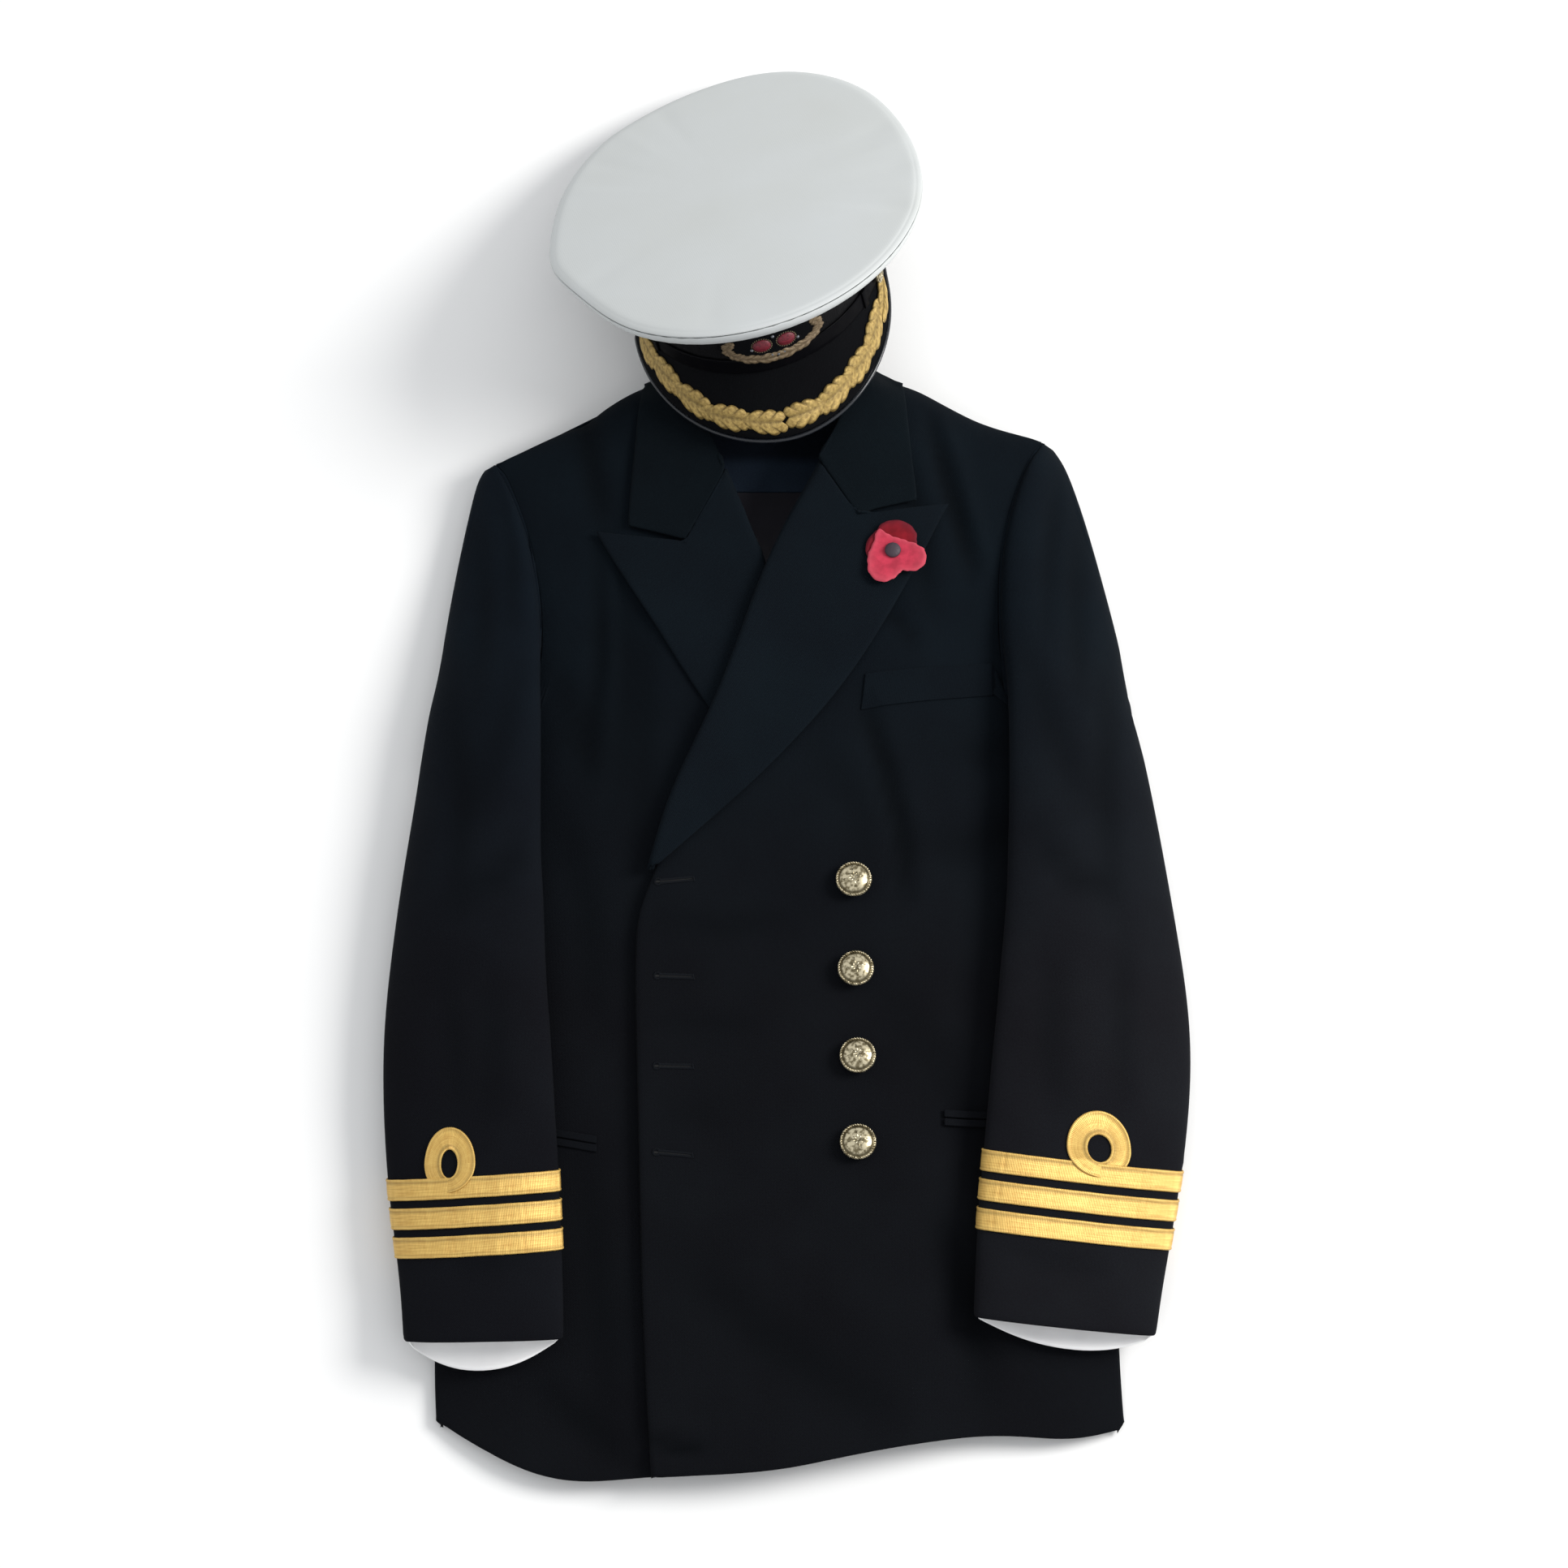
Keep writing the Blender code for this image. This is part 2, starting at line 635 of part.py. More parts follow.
class SleeveShape:
    """One sleeve as a swept section. An angle of 0 is towards +X, and 90 is its top."""

    def __init__(self, side, table):
        self.side = side
        self.low = table[0].y
        self.high = table[-1].y
        self.read = {name: reader(table, "y", name) for name in Sleeve._fields[1:]}
        self.outward = 1 if side == "left" else -1

    def edge_height(self, y, part):
        """The height of the section's middle, part of the way from its inner to its outer edge."""
        inner = self.read["inner"](y)
        inner_z = body_top(inner, y)
        shoulder = mix(inner_z, 13.0, part**1.4)
        x = mix(inner, self.read["outer"](y), part)
        rest = OUTER_LIFT + (inner_z - OUTER_LIFT) * (1 - part**2.2)
        if abs(x) < abs(side_at[self.side](y)):
            rest = max(rest, body_top(x, y))
        arm = rest + UNDER_ARM_GAP + self.read["sink"](y)
        return mix(arm, shoulder, ease(*SETTLE, y))

    def inner_seam(self, y):
        """How far below its inner edge, in degrees, the top sleeve's section ends."""
        return SLEEVE_SEAM_ANGLE * (1 - ease(60, SETTLE[1], y))

    def depth(self, y, edge, part):
        """How far the lower half of the section reaches below its middle."""
        sink = self.read["sink"](y)
        if part > 0.5:
            return mix(sink, edge, ease(*ARMHOLE, y))
        ends = max(math.sin(math.radians(self.inner_seam(y))), 0.01) ** (2 / SECTION_POWER)
        inner = self.read["inner"](y)
        down = max(edge - body_top(inner, y) - ARMHOLE_GAP, 0.0) / ends
        return mix(sink, down, ease(ARMHOLE[0], ARMHOLE[0] + 14, y))

    def point(self, y, angle, out=0.0):
        """A point of the section at y, moved out of the cloth by out."""
        turn = math.radians(angle)
        across = math.copysign(abs(math.cos(turn)) ** (2 / SECTION_POWER), math.cos(turn))
        swell = math.copysign(abs(math.sin(turn)) ** (2 / SECTION_POWER), math.sin(turn))
        inner = self.read["inner"](y)
        outer = self.read["outer"](y)
        half = abs(outer - inner) / 2
        x = (inner + outer) / 2 + (half + out) * across
        part = min(max((x - inner) / (outer - inner), 0.0), 1.0)
        edge = self.edge_height(y, part)
        if swell >= 0:
            z = edge + (self.read["rise"](y) + out) * swell
        else:
            z = edge + (self.depth(y, edge, part) + out) * swell
        slant = self.read["slant"](y) * (x - (inner + outer) / 2)
        crest = self.edge_height(y, 0.5) + self.read["rise"](y)
        tilt = CUFF_TILT * (1 - ease(self.low + CUFF_LONG[0], self.low + CUFF_LONG[1], y))
        return (x, y + slant + tilt * (crest - z), z)

    def over(self, y):
        """The angles of the top sleeve's section, from left to right over the top."""
        inner = 180 + self.inner_seam(y)
        outer = mix(-SLEEVE_SEAM_ANGLE, -90, ease(*ARMHOLE, y))
        angles = [inner, inner - 1.5]
        angles += [mix(inner, outer, i / 13) for i in range(1, 13)]
        angles += [outer + 1.5, outer]
        if self.side == "right":
            angles = [180 - angle for angle in reversed(angles)]
        return angles

    def under(self):
        """The angles of the under sleeve's section, from right to left underneath."""
        first = -SLEEVE_SEAM_ANGLE - SLEEVE_SEAM_GAP
        last = SLEEVE_SEAM_ANGLE - 180 + SLEEVE_SEAM_GAP
        return [first, first - 1.5, *[mix(first, last, i / 7) for i in range(1, 7)], last + 1.5, last]


def sleeve(shape, table):
    """The two pieces of a sleeve: the top one reaches the shoulder, the under one the underarm."""
    side = shape.side
    top = [[shape.point(row.y, angle) for angle in shape.over(row.y)] for row in table]
    sheet(f"top_sleeve_{side}", top, CLOTH, (NAVY, 0.85))
    under = [
        [shape.point(row.y, angle) for angle in shape.under()]
        for row in table
        if row.y <= UNDER_SLEEVE_TOP
    ]
    sheet(f"under_sleeve_{side}", under, CLOTH, (NAVY, 0.85))


def ring_angles(shape):
    """Angles all round a sleeve, at its own columns, so that what lies on it keeps off it."""
    return shape.over(shape.low) + shape.under()[1:-1] + [-180 + SLEEVE_SEAM_ANGLE]


def sleeve_lining(shape):
    """White lining inside the mouth of the sleeve, hanging a little out of its lower half."""
    points = []
    for depth in (0.0, 6.0, 30.0, 62.0):
        row = []
        for angle in ring_angles(shape):
            drop = max(0.0, -math.sin(math.radians(angle))) ** 0.7
            x, y, z = shape.point(shape.low + depth, angle, -CLOTH - 1.1)
            edge = mix(3.0, -LINING_OUT[shape.side], drop) * max(0.0, 1 - depth / 30)
            row.append((x, y + edge, z))
        points.append(row)
    sheet(f"sleeve_lining_{shape.side}", points, LINING, (WHITE, 0.4))


def lace_rings(shape):
    """Gold lace all round the cuff, and the curl that stands up from the upper ring."""
    out = LAYER + LACE_THICK
    for number, bottom in enumerate(RING_BOTTOMS, 1):
        points = [
            [shape.point(shape.low + bottom + rise, angle, out) for angle in ring_angles(shape)]
            for rise in (0.0, LACE_WIDE)
        ]
        sheet(f"lace_{shape.side}_{number}", points, LACE_THICK, (GOLD, 0.45, 0.6))


def surface_angle(shape, y, x):
    """The angle of a sleeve's top at a distance across it."""
    inner = shape.read["inner"](y)
    outer = shape.read["outer"](y)
    across = (x - (inner + outer) / 2) / (abs(outer - inner) / 2)
    return math.degrees(math.acos(math.copysign(abs(across) ** (SECTION_POWER / 2), across)))


def curl(shape):
    out = 3 * LAYER + 2 * LACE_THICK
    side = shape.side
    middle = shape.low + CURL_RISE
    _, over_y, _ = shape.point(middle, surface_angle(shape, middle, CURL_X[side]), out)
    points = []
    for part in (1.0, 0.5, 0.0):
        row = []
        for step in range(25):
            turn = math.tau * step / 24
            half_x = mix(CURL_HOLE[side][0], CURL_HALF[side][0], part)
            half_y = mix(CURL_HOLE[side][1], CURL_HALF[side][1], part)
            x = CURL_X[side] + half_x * math.cos(turn)
            y = middle + half_y * math.sin(turn)
            at = shape.point(y, surface_angle(shape, y, x), out)
            row.append((x, at[1] - over_y + middle, at[2]))
        points.append(row)
    sheet(f"curl_{side}", points, LACE_THICK, (GOLD, 0.45, 0.6))


# ---------------------------------------------------------------- lapels and collar


LAPEL_STEPS = (0.0, 0.2, 0.4, 0.6, 0.8, 1.0)


def gorge_line(gorge, end, start, shift):
    """The gorge from the roll to the notch and on to an end, with its bend at the third step."""
    bend = start + (1 - start) * LAPEL_STEPS[2]

    def read(part):
        if part <= bend:
            at = Vector(gorge.roll).lerp(Vector(gorge.notch), part / bend)
        else:
            at = Vector(gorge.notch).lerp(Vector(end), (part - bend) / (1 - bend))
        return Vector((at.x, at.y + shift))

    return read


def lapel(name, side, table, gorge, height, flat_below):
    """A lapel: it rolls over the front's edge and lies back on it, out to its own edge."""
    outward = 1 if side == "left" else -1
    reach = ROLL_INSET + 0.5
    top_start = reach / abs(gorge.notch[0] - gorge.roll[0]) * LAPEL_STEPS[2]
    top = gorge_line(gorge, gorge.peak, top_start, -GORGE_GAP / 2)
    runs = []
    for row in table:
        roll = Vector((row.roll_x, row.roll_y))
        edge = Vector((row.edge_x, row.edge_y))
        start = min(reach / abs(edge.x - roll.x), 0.6)
        runs.append([roll] + [roll.lerp(edge, mix(start, 1, step)) for step in LAPEL_STEPS])
    last = [top(0)] + [top(mix(top_start, 1, step)) for step in LAPEL_STEPS]
    runs.append([first.lerp(second, 0.5) for first, second in zip(runs[-1], last)])
    runs.append(last)
    points = []
    for run in runs:
        roll = run[0]
        rise = LAPEL_LIFT * ease(flat_below, flat_below + 25, roll.y)
        base = height(roll.x + outward * ROLL_INSET, roll.y)
        radius = (LAPEL_LAYER + LAPEL_WALL + rise + CLOTH) / 2
        middle = base - CLOTH + radius
        slope = (run[1].y - roll.y) / (run[1].x - roll.x)
        line = []
        for angle in (-90, -130, 180, 130):
            turn = math.radians(angle)
            x = roll.x + outward * ROLL_INSET * (1 + math.cos(turn))
            y = roll.y if angle < 0 else roll.y + slope * (x - roll.x)
            line.append((x, y, middle + radius * math.sin(turn)))
        for at in run[1:]:
            lift = rise * (1 - ease(4, 22, abs(at.x - roll.x)))
            line.append((at.x, at.y, height(at.x, at.y) + LAPEL_LAYER + LAPEL_WALL + lift))
        if side == "right":
            line.reverse()
        points.append(line)
    sheet(name, points, LAPEL_WALL, (NAVY, 0.85))


def collar():
    """The collar folds over its stand round the neck, and its two ends meet the lapels."""

    def end(gorge, height):
        line_at = gorge_line(gorge, gorge.collar_corner, 0.0, GORGE_GAP / 2)
        inward = -1 if gorge.roll[0] > 0 else 1
        rows = []
        for part in (0.0, 0.6):
            line = []
            for step in LAPEL_STEPS:
                at = line_at(step)
                straight = Vector(gorge.roll).lerp(Vector(gorge.collar_corner), step)
                at = at.lerp(straight + Vector((0, 16)), part)
                lift = LAPEL_LAYER + LAPEL_WALL + LAPEL_LIFT * (step < 0.1)
                line.append((at.x, at.y, height(at.x, at.y) + lift))
            x, y, z = line[0]
            rows.append([(x + inward * 1.5, y + 1.0, z - LAPEL_WALL - 1.0)] + line)
        return rows

    def row_points(row):
        height = left_top if row.fold_x > 0 else body_top
        fold = Vector((row.fold_x, row.fold_y, row.fold_z))
        edge = Vector((row.edge_x, row.edge_y, row.edge_z))
        line = []
        for step in LAPEL_STEPS:
            at = fold.lerp(edge, step)
            at.z += 3.0 * math.sin(math.pi * step)
            if at.y < shoulder_at(at.x) + 4:
                at.z = max(at.z, height(at.x, at.y) + LAPEL_LAYER + LAPEL_WALL)
            line.append(tuple(at))
        inward = (Vector((-8, 240, 0)) - Vector((fold.x, fold.y, 0))).normalized()
        return [tuple(fold + inward * 3.0 - Vector((0, 0, row.stand)))] + line

    rows = end(RIGHT_GORGE, body_top)
    rows += [row_points(row) for row in COLLAR]
    rows += reversed(end(LEFT_GORGE, left_top))
    sheet("collar", [list(reversed(row)) for row in rows], LAPEL_WALL, (NAVY, 0.85))


# ---------------------------------------------------------------- small pieces on the body


def strip_on(name, low, high, columns, rows, height, wall, finish):
    """A flat piece on a front: between two lines, made from the panel's points moved out."""
    points = []
    for row in range(rows + 1):
        line = []
        for column in range(columns + 1):
            part = column / columns
            x = mix(mix(low[0].x, low[1].x, part), mix(high[0].x, high[1].x, part), row / rows)
            y = mix(mix(low[0].y, low[1].y, part), mix(high[0].y, high[1].y, part), row / rows)
            line.append((x, y, height(x, y) + PATCH_LAYER + wall))
        points.append(line)
    sheet(name, points, wall, finish)


def pockets():
    strip_on("breast_welt", WELT_LOW, WELT_HIGH, 8, 2, left_top, WELT_WALL, (NAVY, 0.85))
    for jet in JETS:
        half = JET_WIDE / 2
        height = left_top if jet.x0 > 0 else body_top
        low = (Edge(jet.x0, jet.y0 - half), Edge(jet.x1, jet.y1 - half))
        high = (Edge(jet.x0, jet.y0 + half), Edge(jet.x1, jet.y1 + half))
        strip_on(jet.name, low, high, 8, 1, height, JET_WALL, (NAVY, 0.85))


def buttons():
    for number, at in enumerate(BUTTONS, 1):
        made = button(f"button_{number}", BUTTON_RADIUS, BUTTON_DOME, BUTTON_RIM, (GILT, 0.25, 1.0))
        highest = max(
            left_top(at.x + BUTTON_RADIUS * math.cos(turn), at.y + BUTTON_RADIUS * math.sin(turn))
            for turn in [math.tau * i / 8 for i in range(8)]
        )
        made.location = Vector((at.x, at.y, highest + BUTTON_LEAN)) * MM


def flower():
    """A pinned cloth flower of four round petals about a dark centre."""
    points = []
    for part in (1.0, 0.55, 0.0):
        row = []
        for step in range(25):
            turn = math.tau * step / 24
            lobe = 0.80 + 0.20 * abs(math.cos(2 * turn)) ** 0.5
            reach = FLOWER_RADIUS * part * mix(1.0, lobe, part)
            x = FLOWER_AT.x + reach * math.cos(turn)
            y = FLOWER_AT.y + reach * math.sin(turn)
            z = left_top(FLOWER_AT.x, FLOWER_AT.y) + 2 * LAYER + LAPEL_WALL + 1.0
            row.append((x, y, z + FLOWER_WALL + 2.2 * part**2))
        points.append(row)
    sheet("flower_petals", points, FLOWER_WALL, (RED, 0.6))
    centre = button("flower_centre", FLOWER_CENTRE_RADIUS, 1.6, 0.8, (BLACK, 0.5))
    centre.location = Vector((FLOWER_AT.x, FLOWER_AT.y, z + FLOWER_WALL + LAYER)) * MM


# ---------------------------------------------------------------- cap


crown_out = reader(CROWN_SHAPE, "turn", "out")


def head(turn, out=0.0):
    return Vector(((HEAD_HALF[0] + out) * math.cos(turn), (HEAD_HALF[1] + out) * math.sin(turn), 0))


def crown(turn):
    """The seam of the crown: a soft oval, higher at the front than behind."""
    out = crown_out(math.degrees(turn) % 360)
    y = math.sin(turn) * ((CROWN_REAR if math.sin(turn) > 0 else CROWN_FRONT) + out)
    part = (CROWN_REAR - y) / (CROWN_REAR + CROWN_FRONT)
    tall = mix(CROWN_REAR_TALL, CROWN_FRONT_TALL, part)
    return Vector(((CROWN_HALF + out) * math.cos(turn), y, tall))


def around(function, count=CAP_COLUMNS):
    return [tuple(function(math.tau * step / count)) for step in range(count + 1)]


def peak_width(spread):
    wide = PEAK_NARROW + (PEAK_DEEP - PEAK_NARROW) * (1 - abs(spread) ** PEAK_ROUND)
    return max(wide - PEAK_SKEW * spread * abs(spread), PEAK_LEAST)


def peak_point(spread, depth, out=0.0):
    """A point of the peak: spread from -1 to 1 round the front, depth from the band to the rim."""
    turn = math.radians(CAP_FRONT + PEAK_SPREAD * spread)
    wide = peak_width(spread)
    lean = Vector((PEAK_LEAN * math.cos(turn), math.sin(turn), 0)).normalized()
    drop = math.radians(PEAK_DROP)
    down = lean * math.cos(drop) - Vector((0, 0, math.sin(drop)))
    normal = lean * math.sin(drop) + Vector((0, 0, math.cos(drop)))
    return head(turn, SEAM + 0.6) + down * wide * depth + normal * out


def cap():
    """Band, cover, peak and trimmings, each hung on one empty that holds the cap's pose."""
    parts = []
    band_rows = [
        around(lambda turn: head(turn) + Vector((0, 0, z))) for z in (0.0, BAND_TALL / 2, BAND_TALL)
    ]
    parts.append(sheet("cap_band", band_rows, BAND_WALL, (BLACK, 0.9)))
    sweat_rows = [
        around(lambda turn: head(turn, -BAND_WALL - LAYER) + Vector((0, 0, z))) for z in (1.0, 36.0)
    ]
    parts.append(sheet("cap_sweatband", sweat_rows, 1.2, (TAN, 0.5)))

    side_rows = []
    for row in COVER_SIDE:
        def cover(turn):
            low = head(turn, -1.0) + Vector((0, 0, BAND_TALL + CLOTH + SEAM))
            high = crown(turn)
            at = low.lerp(high, row.reach)
            at.z = mix(low.z, high.z, row.rise) - row.sag
            return at

        side_rows.append(around(cover))
    parts.append(sheet("cap_cover_side", side_rows, CLOTH * 0.8, (WHITE, 0.6)))

    top_rows = []
    for part in (1.0, 0.8, 0.5, 0.0):
        def top(turn):
            at = crown(turn)
            middle = Vector((0, (CROWN_REAR - CROWN_FRONT) / 2, (CROWN_REAR_TALL + CROWN_FRONT_TALL) / 2))
            at = middle.lerp(at, part)
            at.z += SEAM + CLOTH * 0.8 + CROWN_DOME * (1 - part**2)
            return at

        top_rows.append(around(top))
    parts.append(sheet("cap_cover_top", top_rows, CLOTH * 0.8, (WHITE, 0.6)))

    peak_rows = [
        [tuple(peak_point(mix(-1, 1, i / 24), depth)) for i in range(25)]
        for depth in (1.0, 0.66, 0.33, 0.0)
    ]
    parts.append(sheet("cap_peak", peak_rows, PEAK_WALL, (BLACK, 0.35)))
    parts.append(binding())
    for side, end in LEAVES_END.items():
        start = LEAVES_MEET + math.copysign(0.012, end)
        spreads = sorted(mix(start, end, i / 12) for i in range(13))
        rows = []
        for across in (0.0, 0.5, 1.0):
            line = []
            for spread in spreads:
                wide = peak_width(spread)
                inner = max(wide - LEAVES_INSET - LEAVES_WIDE, 0.5)
                depth = mix(wide - LEAVES_INSET, inner, across) / wide
                line.append(tuple(peak_point(spread, depth, LAYER + LEAVES_WALL)))
            rows.append(line)
        parts.append(sheet(f"peak_leaves_{side}", rows, LEAVES_WALL, (GOLD, 0.5, 0.5)))
    parts += strap_and_badge()

    pose = bpy.data.objects.new("cap_pose", None)
    uniform.objects.link(pose)
    pose.location = Vector(CAP_AT) * MM
    tip, roll, yaw = (math.radians(value) for value in CAP_TURN)
    turned = Matrix.Rotation(yaw, 3, "Z") @ Matrix.Rotation(-tip, 3, "X") @ Matrix.Rotation(roll, 3, "Y")
    pose.rotation_euler = turned.to_euler()
    for piece in parts:
        piece.parent = pose


def binding():
    """The bound rim of the peak: a bead along its edge."""
    spread = [mix(-0.99, 0.99, i / 30) for i in range(31)]
    line = bpy.data.curves.new("peak_binding", "CURVE")
    line.dimensions = "3D"
    line.bevel_depth = BINDING_RADIUS * MM
    line.bevel_resolution = 1
    line.use_fill_caps = True
    spline = line.splines.new("POLY")
    spline.points.add(len(spread) - 1)
    for point, at in zip(spline.points, spread):
        rim = peak_point(at, 1.0, -PEAK_WALL / 2)
        inner = peak_point(at, 0.9, -PEAK_WALL / 2)
        out = (rim - inner).normalized() * (BINDING_RADIUS + SEAM)
        point.co = (*((rim + out) * MM), 1)
    line.materials.append(material("peak_binding", BLACK, 0.3))
    made = bpy.data.objects.new("peak_binding", line)
    uniform.objects.link(made)
    return made


def strap_and_badge():
    """The chin strap over the peak, its two buttons, and the badge on the front of the band."""
    made = []
    strap_rows = []
    for z in (STRAP_LOW, STRAP_LOW + STRAP_WIDE):
        strap_rows.append([
            tuple(head(math.radians(mix(188, 352, i / 26)), LAYER + STRAP_WALL) + Vector((0, 0, z)))
            for i in range(27)
        ])
    made.append(sheet("chin_strap", strap_rows, STRAP_WALL, (BLACK, 0.15)))
    for side, turn in (("left", 340), ("right", 200)):
        angle = math.radians(turn)
        piece = button(f"strap_button_{side}", STRAP_BUTTON_RADIUS, 3.0, 1.2, (GILT, 0.25, 1.0))
        piece.location = (head(angle, 2 * LAYER + STRAP_WALL + 0.3) + Vector((0, 0, 8.0))) * MM
        outward = Vector((math.cos(angle) / HEAD_HALF[0], math.sin(angle) / HEAD_HALF[1], 0))
        piece.rotation_euler = outward.to_track_quat("Z", "Y").to_euler()
        made.append(piece)
    badge_rows = []
    for row in range(7):
        high = mix(-1, 1, row / 6)
        line = []
        for column in range(11):
            wide = mix(-1, 1, column / 10)
            across = BADGE_HALF[0] * wide * math.sqrt(1 - high**2 / 2)
            z = BADGE_MIDDLE_Z + BADGE_HALF[1] * high * math.sqrt(1 - wide**2 / 2)
            turn = math.radians(CAP_FRONT) + across / (HEAD_HALF[0] + 4)
            line.append(tuple(head(turn, 2 * LAYER + STRAP_WALL + BADGE_WALL) + Vector((0, 0, z))))
        badge_rows.append(line)
    made.append(sheet("cap_badge", badge_rows, BADGE_WALL, (GOLD, 0.5, 0.5)))
    return made


# ---------------------------------------------------------------- building

for item in list(bpy.data.objects):
    bpy.data.objects.remove(item, do_unlink=True)
uniform = bpy.data.collections.new("naval_officer_uniform")
bpy.context.scene.collection.children.link(uniform)

back()
back_lining()
neck_facing()
front("front_right", "right", body_top, UNDER_HEM_SHORT)
front("front_left", "left", left_top, 0.0)
lapel("lapel_right", "right", RIGHT_LAPEL, RIGHT_GORGE, body_top, 125)
lapel("lapel_left", "left", LEFT_LAPEL, LEFT_GORGE, left_top, -90)
collar()
for sleeve_side, sleeve_table in (("right", RIGHT_SLEEVE), ("left", LEFT_SLEEVE)):
    arm = SleeveShape(sleeve_side, sleeve_table)
    sleeve(arm, sleeve_table)
    sleeve_lining(arm)
    lace_rings(arm)
    curl(arm)
pockets()
buttons()
flower()
cap()
bpy.context.view_layer.update()
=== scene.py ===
"""A naval officer's dress uniform laid flat on its back: a double-breasted navy jacket with its
sleeves along its sides, gold lace on the cuffs, and a white-topped peaked cap over the collar."""

import math
from collections import namedtuple

import bmesh
import bpy
from mathutils import Matrix, Vector, noise
from mathutils.bvhtree import BVHTree


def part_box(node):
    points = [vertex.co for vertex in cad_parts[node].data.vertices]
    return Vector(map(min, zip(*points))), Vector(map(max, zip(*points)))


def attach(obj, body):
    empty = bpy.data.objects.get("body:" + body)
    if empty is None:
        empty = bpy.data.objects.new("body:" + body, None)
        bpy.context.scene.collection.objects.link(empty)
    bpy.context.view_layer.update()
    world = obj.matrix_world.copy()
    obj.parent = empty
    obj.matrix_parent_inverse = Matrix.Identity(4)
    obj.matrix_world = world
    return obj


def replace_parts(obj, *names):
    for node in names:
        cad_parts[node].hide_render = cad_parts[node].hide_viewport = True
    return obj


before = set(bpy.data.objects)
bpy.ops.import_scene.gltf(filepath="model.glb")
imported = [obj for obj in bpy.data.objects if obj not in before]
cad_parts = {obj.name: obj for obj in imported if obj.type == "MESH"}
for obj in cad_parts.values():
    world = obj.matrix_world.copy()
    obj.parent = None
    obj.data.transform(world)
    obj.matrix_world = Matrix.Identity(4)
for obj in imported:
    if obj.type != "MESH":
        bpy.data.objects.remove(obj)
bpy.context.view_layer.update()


# ---- The studio -------------------------------------------------------------------------------
# A plain pale floor that the uniform is laid on, one broad soft light high on its left side,
# and a white room all round. The camera stands at the hem and looks steeply down.
CAMERA_BACK = 1.1629
CAMERA_HIGH = 3.1949
LENS = 121.1

WINDOW_AT = Vector((2.8, 0.5, 2.1))
ROOM_GLOW = 0.78

lens = bpy.data.cameras.new("camera")
lens.lens = LENS
lens.sensor_width = 36
camera = bpy.data.objects.new("camera", lens)
camera.location = (0, -CAMERA_BACK, CAMERA_HIGH)
camera.rotation_euler = (math.atan2(CAMERA_BACK, CAMERA_HIGH), 0, 0)
bpy.context.scene.collection.objects.link(camera)
bpy.context.scene.camera = camera
bpy.context.scene.view_settings.view_transform = "Standard"

room = bpy.data.worlds.new("white_room")
room.use_nodes = True
sky = room.node_tree.nodes["Background"]
sky.inputs["Color"].default_value = (0.97, 0.985, 1.0, 1)
sky.inputs["Strength"].default_value = ROOM_GLOW
bpy.context.scene.world = room

window = bpy.data.lights.new("window", "AREA")
window.shape = "DISK"
window.size = 1.7
window.energy = 112
window.color = (1.0, 0.985, 0.96)
window_light = bpy.data.objects.new("window", window)
window_light.location = WINDOW_AT
window_light.rotation_euler = WINDOW_AT.to_track_quat("Z", "Y").to_euler()
bpy.context.scene.collection.objects.link(window_light)


def finish_material(name, colour, roughness, metallic=0.0, **sockets):
    """A material with its plain numbers set on the shader itself."""
    material = bpy.data.materials.new(name)
    material.use_nodes = True
    shader = material.node_tree.nodes["Principled BSDF"]
    shader.inputs["Base Color"].default_value = (*colour, 1)
    shader.inputs["Roughness"].default_value = roughness
    shader.inputs["Metallic"].default_value = metallic
    for socket, value in sockets.items():
        shader.inputs[socket.replace("_", " ")].default_value = value
    return material, material.node_tree, shader


def new_piece(name, bm, material):
    """Closes a bmesh into a smooth-shaded piece that rides with the garment."""
    mesh = bpy.data.meshes.new(name)
    bm.to_mesh(mesh)
    bm.free()
    mesh.shade_smooth()
    mesh.materials.append(material)
    piece = bpy.data.objects.new(name, mesh)
    bpy.context.scene.collection.objects.link(piece)
    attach(piece, "root")
    return piece


floor_bm = bmesh.new()
bmesh.ops.create_grid(floor_bm, x_segments=1, y_segments=1, size=6)
bmesh.ops.translate(floor_bm, verts=floor_bm.verts, vec=(0, 0, -0.0006))
floor_mesh = bpy.data.meshes.new("floor")
floor_bm.to_mesh(floor_mesh)
floor_bm.free()
floor = bpy.data.objects.new("floor", floor_mesh)
bpy.context.scene.collection.objects.link(floor)
floor_mesh.materials.append(finish_material("pale_floor", (0.93, 0.93, 0.93), 0.9)[0])


# ---- Jacket back --------------------------------------------------------------------------------
# The back of the jacket, cut in two halves and joined by a seam down the middle. Navy barathea, a
# fine pebbled worsted. It lies face down on the floor, turned up a little at its sides.
NAVY = (0.0028, 0.0052, 0.0081)
NAVY_BELOW = (0.0041, 0.0046, 0.0063)
CLOTH_WALL = 0.0018
RIB = 0.0007
TWILL = 0.0011
PANEL_BEND = math.radians(60)
CORNER = math.radians(32)
BACK_SEAM_X = -0.002
SEAM_BEND = 0.0025
SEAM_RISE = 0.0005
SEAM_TOP = 0.18
SHOULDER_LIFT = 0.003


def add(tree, kind, feeds=None, **settings):
    """A shader node with its settings, its sockets fed with numbers or by other sockets."""
    node = tree.nodes.new("ShaderNode" + kind)
    for name, value in settings.items():
        setattr(node, name, value)
    for socket, feed in (feeds or {}).items():
        if isinstance(feed, bpy.types.NodeSocket):
            tree.links.new(feed, node.inputs[socket])
        else:
            node.inputs[socket].default_value = feed
    return node


